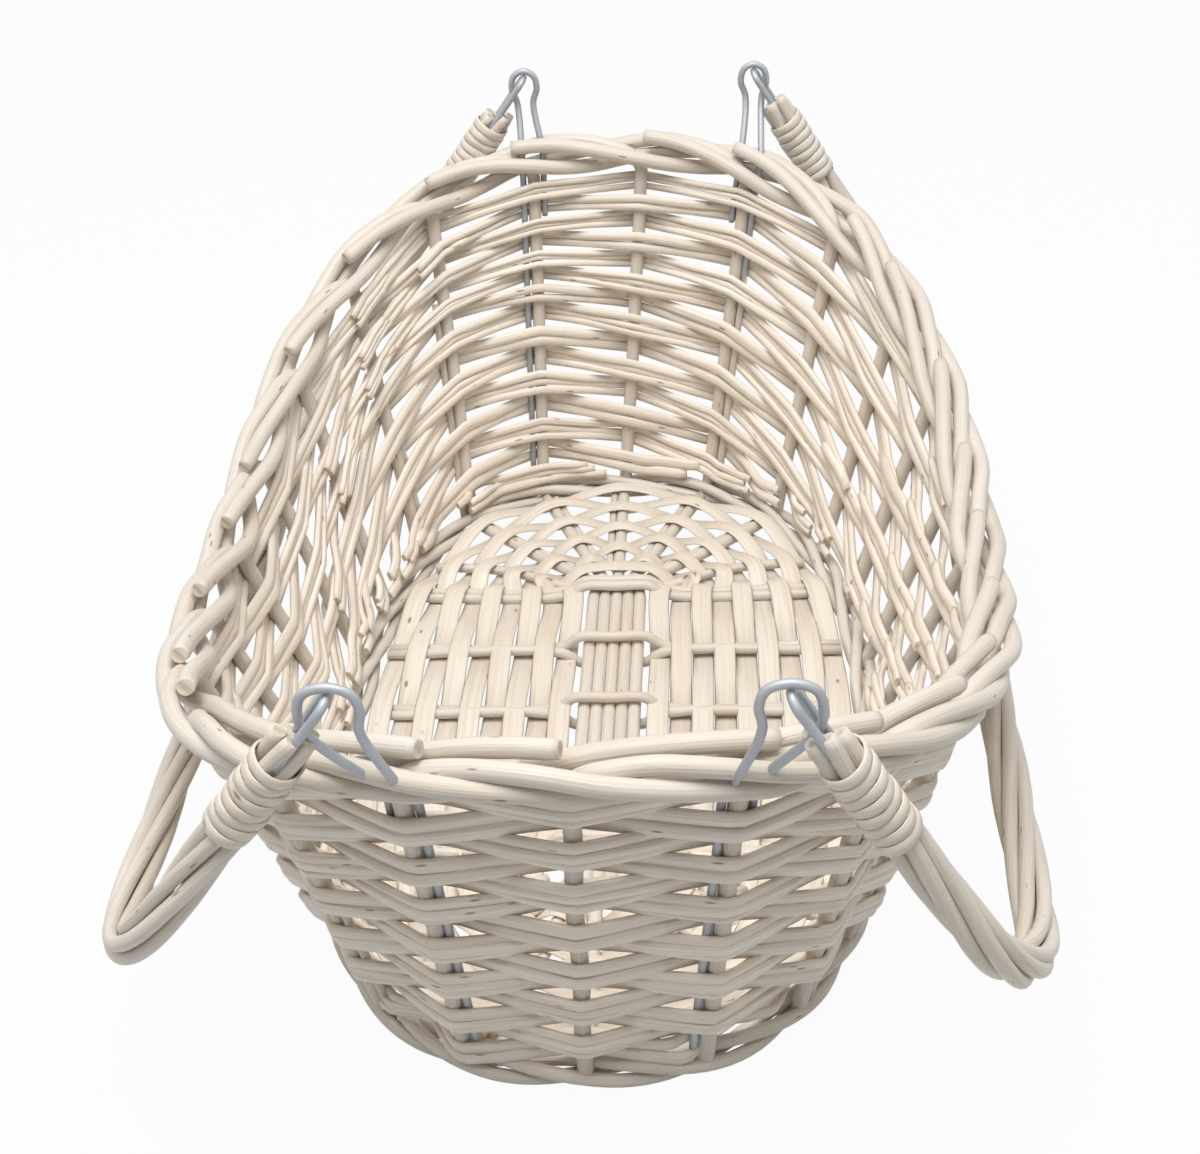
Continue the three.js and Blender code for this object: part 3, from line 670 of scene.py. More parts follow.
class BASKET_OT_weave_siding(bpy.types.Operator):
    """Weave the slewed rows of the sides"""

    bl_idname = "basket.weave_siding"
    bl_label = "Weave the siding"

    def execute(self, context):
        sizes = context.scene.basket_sizes
        wall = Wall(sizes)
        for row in range(sizes.rows + SLANTED_ROWS):
            chance = random.Random(100 + row)
            lanes = 2 if row % 5 in PAIRED_ROWS else 3
            if row < sizes.full_rows:
                self.full_row(wall, row, lanes, chance)
            else:
                self.end_rows(wall, row, lanes, chance)
        return {"FINISHED"}

    def full_row(self, wall, row, lanes, chance):
        """A row all the way round, whose rods start and stop inside the left wall and elsewhere."""
        bm = start_piece()
        first = FIRST_CUT - 2 * chance.randrange(2)
        first += 1 - (first + row) % 2
        third = STAKES // 3
        for lane in range(lanes):
            cuts = [first, first + third + 2 * lane, first + 2 * third + 2 * (lane % 2), first + STAKES]
            for start, stop in zip(cuts, cuts[1:]):
                early, late = chance.uniform(0.16, 0.36), chance.uniform(0.12, 0.3)
                lay_strand(bm, wall, row, lane, lanes, start - early, stop + late, chance)
        self.end_row(bm, wall, row, "slewing")

    def end_rows(self, wall, row, lanes, chance):
        """A row's short stretches at the two raised ends."""
        for name, end in (("packing_rear", 0), ("packing_front", STAKES / 2)):
            runs = [run for run in row_runs(wall, row) if abs(from_end(sum(run) / 2, end)) < QUARTER]
            if not runs:
                continue
            bm = start_piece()
            for low, high in runs:
                for lane in range(lanes):
                    start, stop = low + chance.uniform(-0.25, 0.1), high + chance.uniform(-0.1, 0.25)
                    lay_strand(bm, wall, row, lane, lanes, start, stop, chance)
            self.end_row(bm, wall, row, name)

    def end_row(self, bm, wall, row, name):
        solid = max(1, SOLID_ROWS - row * SOLID_ROWS // wall.sizes.rows)
        look = finish("Siding Willow")
        end_piece(bm, f"{name}_{row + 1:02d}", "basket", look, [f"siding_row_{solid:02d}"])


# Stakes and border

# A stake's top, in the border: how far round it has gone, in stakes, and how far out and up, in mm
BORDER_KEYS = (
    (0.00, 0.0, -9.5),
    (0.03, 0.1, -6.0),
    (0.10, 0.5, -2.6),
    (0.25, 1.4, 0.8),
    (0.50, 2.8, 3.8),
    (0.85, 6.2, 4.8),
    (1.20, 8.0, 1.8),
    (1.60, 8.0, -1.4),
    (2.00, 6.8, -4.4),
    (2.15, 6.2, -5.4),
    (2.45, 1.6, -7.6),
    (2.75, -3.8, -6.6),
    (3.05, -6.9, -2.8),
    (3.45, -6.4, 2.0),
    (3.80, -4.2, 5.4),
    (4.15, -1.6, 7.4),
)
# Where a stake's straight length has its points, as shares of its height, and the last one below the rim
STRAIGHT_SHARES = (0.03, 0.2, 0.4, 0.6, 0.8)
BELOW_BORDER = 0.018
STAKE_STEPS = 6

# A stake's top looks this much thicker in the border.
BORDER_SWELL = 0.09

# Between these the stakes' tops lie a little higher or lower, and further on some end sooner than others.
WAVE_BACK, END_BACK = 0.3, 3

# Stakes with a thinner one beside them
DOUBLED = (1, 4, 9, 10, 14, 17, 20, 21, 22)
THIN_RADIUS = 0.0021
THIN_ASIDE = 0.0054
THIN_FOOT = 0.006


class BASKET_OT_stand_stakes(bpy.types.Operator):
    """Stand the stakes and lay each one's top down into the border"""

    bl_idname = "basket.stand_stakes"
    bl_label = "Stand the stakes"

    def execute(self, context):
        wall = Wall(context.scene.basket_sizes)
        for k in range(STAKES):
            chance = random.Random(400 + k)
            bm = start_piece()
            self.stake(bm, wall, k, chance)
            if k in DOUBLED:
                self.thin_stake(bm, wall.station(float(k)), THIN_ASIDE if k % 2 else -THIN_ASIDE, chance)
            node = f"stake_{k + 1:02d}"
            end_piece(bm, f"willow_{node}", "basket", finish("Thick Willow"), [node])
        return {"FINISHED"}

    def stake(self, bm, wall, k, chance):
        foot, rise, along, out, reach = wall.station(float(k))
        points, outs = [], []
        for share in STRAIGHT_SHARES:
            sway = along * chance.uniform(-0.0005, 0.0005)
            points.append(foot + rise * (reach * share) + sway)
            outs.append(out)
        points.append(foot + rise * (reach - BELOW_BORDER))
        outs.append(out)
        border = STAKE_STEPS * len(points)
        last = BORDER_KEYS[-1][0]
        end = last + chance.uniform(-0.35, 0.2)
        shift = [chance.uniform(-0.7, 0.7) for _ in range(2)]
        for back, u, v in BORDER_KEYS:
            if back >= END_BACK:
                back += (end - last) * (back - END_BACK) / (last - END_BACK)
            elif back > WAVE_BACK:
                u += shift[0]
                v += shift[1]
            station = wall.station(k - back)
            points.append(station.foot + station.rise * (station.reach + v * MM) + station.out * (u * MM))
            outs.append(station.out)
        line = smooth_line(points, STAKE_STEPS)
        outs = even_values(outs, STAKE_STEPS)
        radius = wall.sizes.stake_radius * chance.uniform(0.97, 1.04)
        swell = [radius * (1 + BORDER_SWELL * clamp((i - border) / (border / 2))) for i in range(len(line))]
        rod(bm, line, outs, swell, swell, chance, sides=12)

    def thin_stake(self, bm, station, aside, chance):
        """A thinner stake beside the main one, cut off under the border."""
        high = chance.uniform(0.55, 0.93) * (station.reach - 0.02)
        steps = 8
        line = []
        for i in range(steps + 1):
            up = THIN_FOOT + (high - THIN_FOOT) * i / steps
            line.append(station.foot + station.rise * up + station.along * aside)
        rod(bm, line, station.out, THIN_RADIUS, THIN_RADIUS, chance, sides=8, taper=0.8)


# Foot

# The rods wind round the stakes' feet, this far to each side, up and down from their level.
WALE_RODS = 3
WALE_STEPS = 10
WALE_RADIUS = 0.0027
WALE_WIDTH, WALE_RISE = 0.0041, 0.0038
WALE_LEVEL = 0.0070


class BASKET_OT_twine_wale(bpy.types.Operator):
    """Twine three rods round the stakes' feet"""

    bl_idname = "basket.twine_wale"
    bl_label = "Twine the wale"

    def execute(self, context):
        wall = Wall(context.scene.basket_sizes)
        chance = random.Random(700)
        bm = start_piece()
        count = STAKES * WALE_STEPS
        for strand in range(WALE_RODS):
            line, outs = [], []
            for i in range(count):
                place = STAKES * i / count
                station = wall.station(place)
                flat = Vector((station.out.x, station.out.y, 0)).normalized()
                turn = math.tau * (strand / WALE_RODS + place / WALE_RODS)
                level = WALE_LEVEL + WALE_RISE * math.sin(turn)
                line.append(station.foot + (flat * (WALE_WIDTH * math.cos(turn)) + UP * level))
                outs.append(flat)
            rod(bm, line, outs, WALE_RADIUS, WALE_RADIUS, chance, closed=True)
        nodes = ["foot_wale", "border_rod_1", "border_rod_2", "border_rod_3"]
        end_piece(bm, "foot_rods", "basket", finish("Thick Willow"), nodes)
        return {"FINISHED"}


# Base

# How far inside the stakes' line the fan, the cross rods and the last skein end
FAN_INSET = 0.0088
CROSS_INSET = 0.0078
SKEIN_INSET = 0.0128

# The fan has five long sticks and one more rod on each side of them.
STICKS = (-2, -1, 0, 1, 2)
FAN_RODS = (-3, *STICKS, 3)
SIDE_ROD_START = 0.0205
SIDE_ROD_BACK = 0.003
SIDE_ROD_BEND = 0.006
SIDE_ROD_RADIUS = 0.0024
FILL_ROD_RADIUS = 0.0019
FILL_ROD_ASIDE = 0.0048

PAIRS = 5

# The pairs grip the sticks over this much more than their width, and lie flat again this far on.
GRIP_ROOM, GRIP_SLOPE = 0.001, 0.009

# The first turn of the skein lies here, and all of them are narrower where they cross the fan.
FIRST_SKEIN = 0.0225
FAN_SKEIN_WIDTH = 0.85
SKEIN_STEPS = 10


def base_edge(sizes, y, inset):
    """Half the base's width at a place along it, inside the stakes' line."""
    a, b = sizes.base_half_width - inset, sizes.base_half_length - inset
    return a * max(0.0, 1 - abs(y / b) ** sizes.base_squareness) ** (1 / sizes.base_squareness)


def fan_stick(sizes, base, k, end):
    """Where a stick of the fan starts and ends."""
    half_width, half_length = sizes.base_half_width - FAN_INSET, sizes.base_half_length - FAN_INSET
    tip = Oval(half_width, half_length, sizes.base_squareness).at(k / STAKES)
    start = Vector((k * base.stick_pitch, end * base.fan_start, 0))
    if k not in STICKS:
        start = Vector((math.copysign(SIDE_ROD_START, k), end * (base.fan_start - SIDE_ROD_BACK), 0))
    return start, Vector((tip.x, end * tip.y, 0))


def pair_places(base):
    """The places of the pairs of cross rods along the base."""
    return [(n - PAIRS // 2) * base.cross_pitch + base.cross_shift for n in range(PAIRS)]


class BASKET_OT_set_base_sticks(bpy.types.Operator):
    """Set the long sticks and the pairs of cross rods"""

    bl_idname = "basket.set_base_sticks"
    bl_label = "Set the base sticks"

    def execute(self, context):
        sizes, base = context.scene.basket_sizes, context.scene.basket_base
        chance = random.Random(800)
        self.long_sticks(sizes, base, chance)
        self.fan_rods(sizes, base, chance)
        for n, place in enumerate(pair_places(base)):
            self.cross_pair(sizes, base, n, place, chance)
        return {"FINISHED"}

    def long_sticks(self, sizes, base, chance):
        bm = start_piece()
        lift = UP * base.level
        for k in STICKS:
            near_start, near_tip = fan_stick(sizes, base, k, -1)
            far_start, far_tip = fan_stick(sizes, base, k, 1)
            points = [near_tip, near_tip.lerp(near_start, 0.5), near_start]
            points += [near_start.lerp(far_start, share) for share in (0.06, 0.5, 0.94)]
            points += [far_start, far_start.lerp(far_tip, 0.5), far_tip]
            line = smooth_line([p + lift for p in points], 6)
            rod(bm, line, UP, base.stick_radius, base.stick_radius, chance, sides=12)
        end_piece(bm, "long_sticks", "basket", finish("Thick Willow"), ["base_long_sticks"])

    def fan_rods(self, sizes, base, chance):
        """A thinner rod beside each stick of the fan, and one on each side of them all."""
        bm = start_piece()
        lift = UP * base.level
        for end in (-1, 1):
            for k in FAN_RODS:
                start, tip = fan_stick(sizes, base, k, end)
                aside, bend, radius = Vector(), Vector((0, end * SIDE_ROD_BEND, 0)), SIDE_ROD_RADIUS
                if k in STICKS:
                    start = start.lerp(tip, 0.2)
                    aside = Vector((FILL_ROD_ASIDE if k < 0 else -FILL_ROD_ASIDE, 0, 0))
                    bend, radius = Vector(), FILL_ROD_RADIUS
                points = [start + aside, start.lerp(tip, 0.5) + aside + bend, tip + aside]
                line = smooth_line([p + lift for p in points], 8)
                rod(bm, line, UP, radius, radius, chance, sides=8)
        end_piece(bm, "fan_rods", "basket", finish("Thick Willow"))

    def cross_pair(self, sizes, base, n, place, chance):
        """Two cross rods that grip the long sticks, one over them and one under, or both over."""
        bm = start_piece()
        half = 2 * base.stick_pitch + base.stick_radius + GRIP_ROOM
        foot = half + GRIP_SLOPE
        grip = base.stick_radius + base.cross_radius + 0.0004
        for sign in (1, -1):
            y = place + sign * base.cross_gap / 2
            x = base_edge(sizes, y, CROSS_INSET)
            z = grip * (1 if n == PAIRS - 1 else sign)
            marks = [(-x, 0), (-foot, 0), (-half, z), (0, z), (half, z), (foot, 0), (x, 0)]
            line = smooth_line([Vector((across, y, base.level + up)) for across, up in marks], 5)
            rod(bm, line, UP, base.cross_radius, base.cross_radius, chance)
        name = f"cross_rods_{n + 1}"
        node = f"base_cross_pair_{n + 1}"
        end_piece(bm, name, "basket", finish("Thick Willow"), [node])


class BASKET_OT_weave_base(bpy.types.Operator):
    """Weave the flat skeins round the base"""

    bl_idname = "basket.weave_base"
    bl_label = "Weave the base"

    def execute(self, context):
        sizes, base = context.scene.basket_sizes, context.scene.basket_base
        chance = random.Random(900)
        pairs = pair_places(base)
        crossed = [("fan", k, 1) for k in (0, 1, 2, 3)]
        crossed += [("pair", y, 1) for y in reversed(pairs)]
        crossed += [("fan", k, -1) for k in reversed(FAN_RODS)]
        crossed += [("pair", y, -1) for y in pairs]
        crossed += [("fan", k, 1) for k in (-3, -2, -1)]
        for ring in range(base.rings):
            bm = start_piece()
            line, wide = self.skein(sizes, base, crossed, ring)
            thick = base.skein_thickness / 2
            rod(bm, line, UP, wide, thick, chance, sides=8, closed=True, square=0.45)
            replaced = ["base_skein"] if ring == 0 else []
            look = finish("Peeled Skein")
            end_piece(bm, f"skein_{ring + 1}", "basket", look, replaced)
        return {"FINISHED"}

    def skein(self, sizes, base, crossed, ring):
        """The line and half widths of one turn, over one stick or pair and under the next."""
        share = ring / (base.rings - 1)
        width = FIRST_SKEIN + (sizes.base_half_width - SKEIN_INSET - FIRST_SKEIN) * share
        points, wide = [], []
        for index, (kind, value, side) in enumerate(crossed):
            over = (index + ring) % 2 == 0 or (ring == 0 and kind == "fan" and value in STICKS)
            if kind == "fan":
                start, tip = fan_stick(sizes, base, value, side)
                spot = start.lerp(tip, 0.13 + 0.84 * share)
                rise = base.stick_radius + 0.0013
                wide.append(FAN_SKEIN_WIDTH)
            else:
                edge = base_edge(sizes, value, 0.0) / sizes.base_half_width
                spot = Vector((side * width * (1 - share * (1 - edge)), value, 0))
                rise = base.cross_radius + 0.0008
                wide.append(1.0)
            points.append(spot + UP * (base.level + (rise if over else -rise)))
        count = len(points)
        line = smooth_line(points[-2:] + points + points[:3], SKEIN_STEPS)
        line = line[2 * SKEIN_STEPS : (count + 2) * SKEIN_STEPS]
        widths = []
        for i in range(count * SKEIN_STEPS):
            k, t = divmod(i, SKEIN_STEPS)
            mix = wide[k] + (wide[(k + 1) % count] - wide[k]) * t / SKEIN_STEPS
            widths.append(base.skein_width / 2 * mix)
        return line, widths


# Wire loops and handles

# The stakes beside which the wire loops stand, by side and end
LOOP_STAKES = {(-1, -1): 13, (1, -1): 11, (-1, 1): 23, (1, 1): 1}
SIDES = (("left", -1), ("right", 1))
ENDS = (("front", -1), ("rear", 1))

# Half a loop's arch, from its neck to its top, as places across and up from the pivot line
ARCH = ((0.0112, -0.0050), (0.0086, 0.0012), (0, 0.0037))
NECK_LEVEL = -0.0130
WIRE_PLAY = 0.0004

# A front loop is wider than a rear one, in shares of the arch, with its neck and its foot further out.
FRONT_LOOP = (0.84, 0.0100, 0.008)
REAR_LOOP = (0.56, 0.0072, 0.002)

# A wire eye is half a circle, with legs that run this far from the pivot line.
EYE_RADIUS = 0.0046
EYE_STEPS = 12
EYE_LEGS = (0.012, 0.020, 0.036)

# The bow's rods start this much before the rod ends' mean place.
BOW_LEAD = 0.003
BOW_LEG_STEPS, BOW_BEND_STEPS, BOW_GRIP_STEPS = 28, 24, 60

# A binding starts this far below the rod ends, and its own ends are tucked in over a few steps.
BINDING_START = 0.0095
BINDING_PITCH = 0.0044
BINDING_HALF_THICKNESS = 0.0005
BINDING_STEPS = 20
BINDING_TUCK = 4


class Hang:
    """Where a handle's pivot line lies, and how the handle hangs from it at rest."""

    def __init__(self, wall, parts, side):
        sizes = wall.sizes
        rims = {k: wall.edges(k / STAKES)[1] for k in sorted(LOOP_STAKES.values())}
        reach = sum(abs(rim.y) for rim in rims.values()) / 4 + parts.link_lean
        level = sum(rim.z for rim in rims.values()) / 4 + parts.link_rise
        front_x = rims[LOOP_STAKES[side, -1]].x + side * parts.spread_front
        rear_x = rims[LOOP_STAKES[side, 1]].x + side * parts.spread_rear
        self.links = {-1: Vector((front_x, -reach, level)), 1: Vector((rear_x, reach, level))}
        self.middle = (self.links[-1] + self.links[1]) / 2
        span = self.links[1] - self.links[-1]
        self.half = span.length / 2
        self.axis = span.normalized()
        away = sizes.rim_half_width + parts.outside_rim - side * self.middle.x
        down = level - sizes.side_height + parts.below_rim
        self.depth = math.hypot(away, down)
        self.start = parts.start
        angle = math.atan2(away, down)
        out = self.axis.cross(UP) * side
        self.down = out * math.sin(angle) - UP * math.cos(angle)
        self.face = out * math.cos(angle) + UP * math.sin(angle)
        self.slope = -side * self.axis.x / math.sin(angle)

    def at(self, v, depth):
        """A point in the handle's own plane: along the pivot line, and away from it."""
        return self.middle + self.axis * v + self.down * depth

    def rod_at(self, v, depth):
        """The same for the bow, whose grip runs along the basket."""
        share = max(0.0, depth - self.start) / (self.depth - self.start)
        return self.at(v, depth + self.slope * v * share)


class BASKET_OT_bend_wires(bpy.types.Operator):
    """Bend the four wire loops that stand on the rim"""

    bl_idname = "basket.bend_wires"
    bl_label = "Bend the wire loops"

    def execute(self, context):
        parts = context.scene.basket_handles
        wall = Wall(context.scene.basket_sizes)
        radius = parts.wire_radius
        for end_name, end in ENDS:
            for side_name, side in SIDES:
                chance = random.Random(LOOP_STAKES[side, end])
                bm = start_piece()
                line = smooth_line(self.loop(wall, parts, side, end), 8)
                rod(bm, line, Vector((0, 1, 0)), radius, radius, chance, sides=12)
                name = f"{end_name}_{side_name}"
                look = finish("Zinc Wire")
                end_piece(bm, f"wire_loop_{name}", "basket", look, [f"rim_wire_{name}"])
        return {"FINISHED"}

    def loop(self, wall, parts, side, end):
        """A loop's points: up a long leg beside the stake, over the arch and down a short leg."""
        foot, rise, along, out, reach = wall.station(float(LOOP_STAKES[side, end]))
        way = math.copysign(1, along.x) * side * end
        offset = wall.sizes.stake_radius + WIRE_PLAY + parts.wire_radius
        link = Hang(wall, parts, side).links[end]
        widen, neck, clear = FRONT_LOOP if end < 0 else REAR_LOOP

        def leg(distance, sign):
            return foot + rise * distance + along * (offset * sign * way)

        def over(sign):
            return leg(reach + 0.003, sign) + out * clear

        def arch(x, z):
            return link + Vector((side * end * x * widen, 0, z))

        points = [leg(0.016, 1), leg(reach * 0.4, 1), leg(reach * 0.75, 1), leg(reach - 0.014, 1), over(1)]
        points += [arch(neck, NECK_LEVEL), *(arch(x, z) for x, z in ARCH)]
        points += [*(arch(-x, z) for x, z in reversed(ARCH[:-1])), arch(-neck, NECK_LEVEL)]
        points += [over(-1), leg(reach - 0.014, -1), leg(reach - 0.030, -1)]
        return points


class BASKET_OT_lay_handles(bpy.types.Operator):
    """Lay the rods of both handles, with their wire eyes and bindings"""

    bl_idname = "basket.lay_handles"
    bl_label = "Lay the handles"

    def execute(self, context):
        parts = context.scene.basket_handles
        wall = Wall(context.scene.basket_sizes)
        for name, side in SIDES:
            chance = random.Random(name)
            hang = Hang(wall, parts, side)
            self.bow(parts, hang, name, chance)
            for end_name, end in ENDS:
                self.eye(parts, hang, name, end_name, end, chance)
                self.binding(parts, hang, name, end_name, end, chance)
        return {"FINISHED"}

    def bundle(self, parts):
        """From the middle of a handle to the middle of its rods."""
        return parts.rod_radius / math.sin(math.pi / parts.rods)

    def outline(self, parts, hang):
        """The bow in its own plane: place along the basket, and depth from the pivot line."""
        corner, leg_end = parts.corner, hang.depth - parts.corner
        leg = leg_end - parts.start + BOW_LEAD
        flat = []
        for i in range(BOW_LEG_STEPS):
            flat.append((-hang.half, parts.start - BOW_LEAD + leg * i / BOW_LEG_STEPS))
        for i in range(BOW_BEND_STEPS):
            angle = math.pi / 2 * i / BOW_BEND_STEPS
            flat.append((-hang.half + corner * (1 - math.cos(angle)), leg_end + corner * math.sin(angle)))
        run = hang.half - corner
        for i in range(BOW_GRIP_STEPS + 1):
            flat.append((-run + run * i / BOW_GRIP_STEPS, hang.depth))
        return flat[:-1] + [(-v, depth) for v, depth in reversed(flat)]

    def bow(self, parts, hang, name, chance):
        """The rods of one handle, laid round each other."""
        points = [hang.rod_at(v, depth) for v, depth in self.outline(parts, hang)]
        reach = [0.0]
        for a, b in zip(points, points[1:]):
            reach.append(reach[-1] + (b - a).length)
        bundle = self.bundle(parts) + 0.0001
        bm = start_piece()
        for strand in range(parts.rods):
            first, last = chance.randrange(0, 3), chance.randrange(0, 3)
            sway = chance.uniform(0, math.tau)
            line, outs = [], []
            for i in range(first, len(points) - last):
                tangent = (points[min(i + 1, len(points) - 1)] - points[max(i - 1, 0)]).normalized()
                across = tangent.cross(hang.face)
                turn = math.tau * (strand / parts.rods + reach[i] / parts.lay)
                turn += 0.16 * math.sin(reach[i] / 0.07 + sway)
                radial = hang.face * math.cos(turn) + across * math.sin(turn)
                line.append(points[i] + radial * bundle * (1 + 0.05 * math.sin(reach[i] / 0.05 + sway)))
                outs.append(radial)
            radius = parts.rod_radius * chance.uniform(0.92, 1.08)
            taper = chance.uniform(0.92, 1.02)
            rod(bm, line, outs, radius, radius, chance, sides=12, taper=taper)
        node = f"{name}_handle_bow"
        end_piece(bm, f"{name}_bow_rods", f"{name}_handle", finish("Thick Willow"), [node])

    def eye(self, parts, hang, name, end_name, end, chance):
        """A hairpin of wire, whose legs run into the handle."""
        marks = [(-EYE_RADIUS, depth) for depth in reversed(EYE_LEGS)]
        for i in range(EYE_STEPS + 1):
            angle = math.pi * i / EYE_STEPS
            marks.append((-EYE_RADIUS * math.cos(angle), EYE_RADIUS - EYE_RADIUS * math.sin(angle)))
        marks += [(EYE_RADIUS, depth) for depth in EYE_LEGS]
        line = smooth_line([hang.at(end * hang.half + v, depth) for v, depth in marks], 3)
        bm = start_piece()
        rod(bm, line, hang.face, parts.wire_radius, parts.wire_radius, chance, sides=12)
        node = f"{name}_handle_eye_{end_name}"
        piece = f"{name}_wire_eye_{end_name}"
        end_piece(bm, piece, f"{name}_handle", finish("Zinc Wire"), [node])

    def binding(self, parts, hang, name, end_name, end, chance):
        """A flat skein wound round the handle's end, with its own ends tucked in."""
        across = hang.axis
        face = hang.down.cross(across)
        radius = self.bundle(parts) + parts.rod_radius + 0.0007
        count = parts.turns * BINDING_STEPS
        line, outs = [], []
        for i in range(-BINDING_TUCK, count + BINDING_TUCK + 1):
            turn = math.tau * i / BINDING_STEPS
            inward = min(0, i, count - i) * 0.0003
            radial = across * math.cos(turn) + face * math.sin(turn)
            depth = parts.start + BINDING_START + BINDING_PITCH * clamp(i, 0, count) / BINDING_STEPS
            spot = hang.at(end * hang.half, depth + 0.0005 * math.sin(turn + end))
            line.append(spot + radial * (radius + inward + 0.0003 * math.sin(turn * 2.7)))
            outs.append(radial)
        bm = start_piece()
        half_width = parts.binding_width / 2
        rod(bm, line, outs, half_width, BINDING_HALF_THICKNESS, chance, sides=8, square=0.4)
        node = f"{name}_handle_binding_{end_name}"
        piece = f"{name}_binding_skein_{end_name}"
        end_piece(bm, piece, f"{name}_handle", finish("Peeled Skein"), [node])


# Stage

FLOOR_HALF_SIZE = 6
FLOOR_GLOW = 0.95
ROOM_COLOUR = (0.97, 0.985, 1, 1)
ROOM_STRENGTH = 0.27
WHITE = (1, 1, 1, 1)

# Each lamp's name, place, target, power and tint
LAMP_SIZE = 1.0
LAMPS = (
    ("key", (-0.05, -0.27, 1.45), (0, 0.06, 0.06), 20.4, (1, 0.99, 0.98)),
    ("left_fill", (-1.5, 0.1, 1.3), (0, 0, 0.1), 4, (0.98, 0.99, 1)),
    ("right_fill", (1.5, 0.1, 1.3), (0, 0, 0.1), 4, (0.98, 0.99, 1)),
)

# The camera's place, and how far it looks down, turns and tilts, in radians
CAMERA_PLACE = (0.05704, -0.69678, 0.57890)
CAMERA_PITCH, CAMERA_YAW, CAMERA_ROLL = 0.6112, -0.0816, -0.0603
CAMERA_LENS = 59.1
CAMERA_SENSOR = 36


def seen_rays(tree):
    """1 for a ray from the camera, straight, by gloss or through glass, and 0 for the light's own rays."""
    path = add_node(tree, "ShaderNodeLightPath")
    plain = add_node(tree, "ShaderNodeMath", operation="MAXIMUM")
    link(tree, path, "Is Camera Ray", plain, 0)
    link(tree, path, "Is Glossy Ray", plain, 1)
    seen = add_node(tree, "ShaderNodeMath", operation="MAXIMUM")
    link(tree, plain, 0, seen, 0)
    link(tree, path, "Is Transmission Ray", seen, 1)
    return seen


def pale_floor(tint):
    """A plain floor that takes the object's shadow and looks nearly white."""
    material, tree, shader = new_material("Pale Floor")
    set_values(shader, {"Base Color": tint, "Roughness": 0.9})
    glow = add_node(tree, "ShaderNodeEmission")
    part = add_node(tree, "ShaderNodeMath", {1: FLOOR_GLOW}, operation="MULTIPLY")
    mix = add_node(tree, "ShaderNodeMixShader")
    link(tree, seen_rays(tree), 0, part, 0)
    link(tree, part, 0, mix, 0)
    link(tree, shader, "BSDF", mix, 1)
    link(tree, glow, "Emission", mix, 2)
    link(tree, mix, "Shader", tree.nodes["Material Output"], "Surface")
    return material


def add_object(scene, name, data):
    added = bpy.data.objects.new(name, data)
    scene.collection.objects.link(added)
    return added


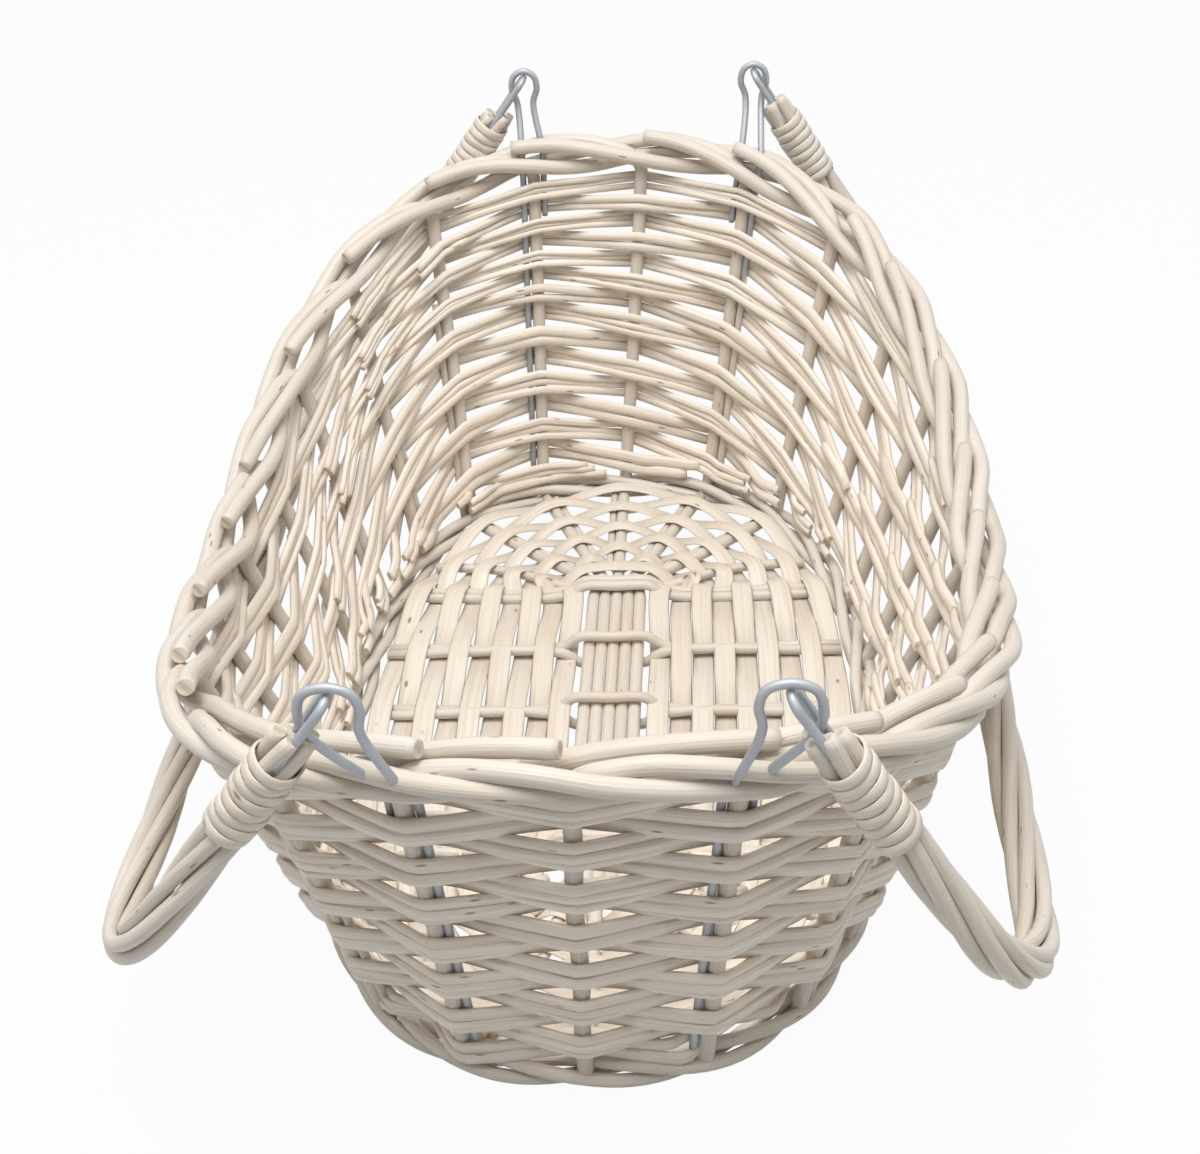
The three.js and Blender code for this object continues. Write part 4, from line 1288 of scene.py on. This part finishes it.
class BASKET_OT_set_stage(bpy.types.Operator):
    """Set the floor, the lights and the camera"""

    bl_idname = "basket.set_stage"
    bl_label = "Set the stage"

    def execute(self, context):
        scene = context.scene
        scene.view_settings.view_transform = "Standard"
        self.floor(scene)
        self.world(scene)
        self.lamps(scene)
        self.camera(scene)
        return {"FINISHED"}

    def floor(self, scene):
        bm = bmesh.new()
        bmesh.ops.create_grid(bm, x_segments=1, y_segments=1, size=FLOOR_HALF_SIZE)
        mesh = bpy.data.meshes.new("floor")
        bm.to_mesh(mesh)
        bm.free()
        mesh.materials.append(pale_floor(scene.basket_finishes.floor[:]))
        add_object(scene, "floor", mesh)

    def world(self, scene):
        scene.world = bpy.data.worlds.new("Pale Room")
        scene.world.use_nodes = True
        tree = scene.world.node_tree
        room = tree.nodes["Background"]
        set_values(room, {"Color": ROOM_COLOUR, "Strength": ROOM_STRENGTH})
        white = add_node(tree, "ShaderNodeBackground", {"Color": WHITE})
        mix = add_node(tree, "ShaderNodeMixShader")
        link(tree, seen_rays(tree), 0, mix, 0)
        link(tree, room, "Background", mix, 1)
        link(tree, white, "Background", mix, 2)
        link(tree, mix, "Shader", tree.nodes["World Output"], "Surface")

    def lamps(self, scene):
        for name, place, target, power, tint in LAMPS:
            lamp = bpy.data.lights.new(name, "AREA")
            lamp.size = LAMP_SIZE
            lamp.energy = power
            lamp.color = tint
            holder = add_object(scene, name, lamp)
            holder.location = place
            holder.rotation_euler = (Vector(target) - Vector(place)).to_track_quat("-Z", "Y").to_euler()

    def camera(self, scene):
        view = bpy.data.cameras.new("view")
        view.sensor_width = CAMERA_SENSOR
        view.lens = CAMERA_LENS
        holder = add_object(scene, "view", view)
        look = Matrix.Rotation(math.pi / 2 - CAMERA_PITCH, 3, "X")
        turn = Matrix.Rotation(-CAMERA_YAW, 3, "Z") @ look @ Matrix.Rotation(CAMERA_ROLL, 3, "Z")
        holder.matrix_world = Matrix.Translation(CAMERA_PLACE) @ turn.to_4x4()
        scene.camera = holder


class BASKET_PT_panel(bpy.types.Panel):
    bl_label = "Willow basket"
    bl_idname = "BASKET_PT_panel"
    bl_space_type = "VIEW_3D"
    bl_region_type = "UI"
    bl_category = "Basket"

    def draw(self, context):
        for steps in OPERATORS:
            self.layout.operator(steps.bl_idname)
        for name, group in GROUPS:
            box = self.layout.box()
            for field in group.__annotations__:
                box.prop(getattr(context.scene, name), field)


OPERATORS = (
    BASKET_OT_set_stage,
    BASKET_OT_weave_siding,
    BASKET_OT_stand_stakes,
    BASKET_OT_twine_wale,
    BASKET_OT_set_base_sticks,
    BASKET_OT_weave_base,
    BASKET_OT_bend_wires,
    BASKET_OT_lay_handles,
)
GROUPS = (
    ("basket_sizes", BasketSizes),
    ("basket_base", BaseSizes),
    ("basket_handles", HandleSizes),
    ("basket_finishes", Finishes),
)


def register():
    for name, group in GROUPS:
        bpy.utils.register_class(group)
        setattr(bpy.types.Scene, name, PointerProperty(type=group))
    for cls in (*OPERATORS, BASKET_PT_panel):
        bpy.utils.register_class(cls)


def unregister():
    for cls in (BASKET_PT_panel, *reversed(OPERATORS)):
        bpy.utils.unregister_class(cls)
    for name, group in reversed(GROUPS):
        delattr(bpy.types.Scene, name)
        bpy.utils.unregister_class(group)


def main():
    register()
    bpy.ops.basket.set_stage()
    bpy.ops.basket.weave_siding()
    bpy.ops.basket.stand_stakes()
    bpy.ops.basket.twine_wale()
    bpy.ops.basket.set_base_sticks()
    bpy.ops.basket.weave_base()
    bpy.ops.basket.bend_wires()
    bpy.ops.basket.lay_handles()


if __name__ == "__main__":
    main()
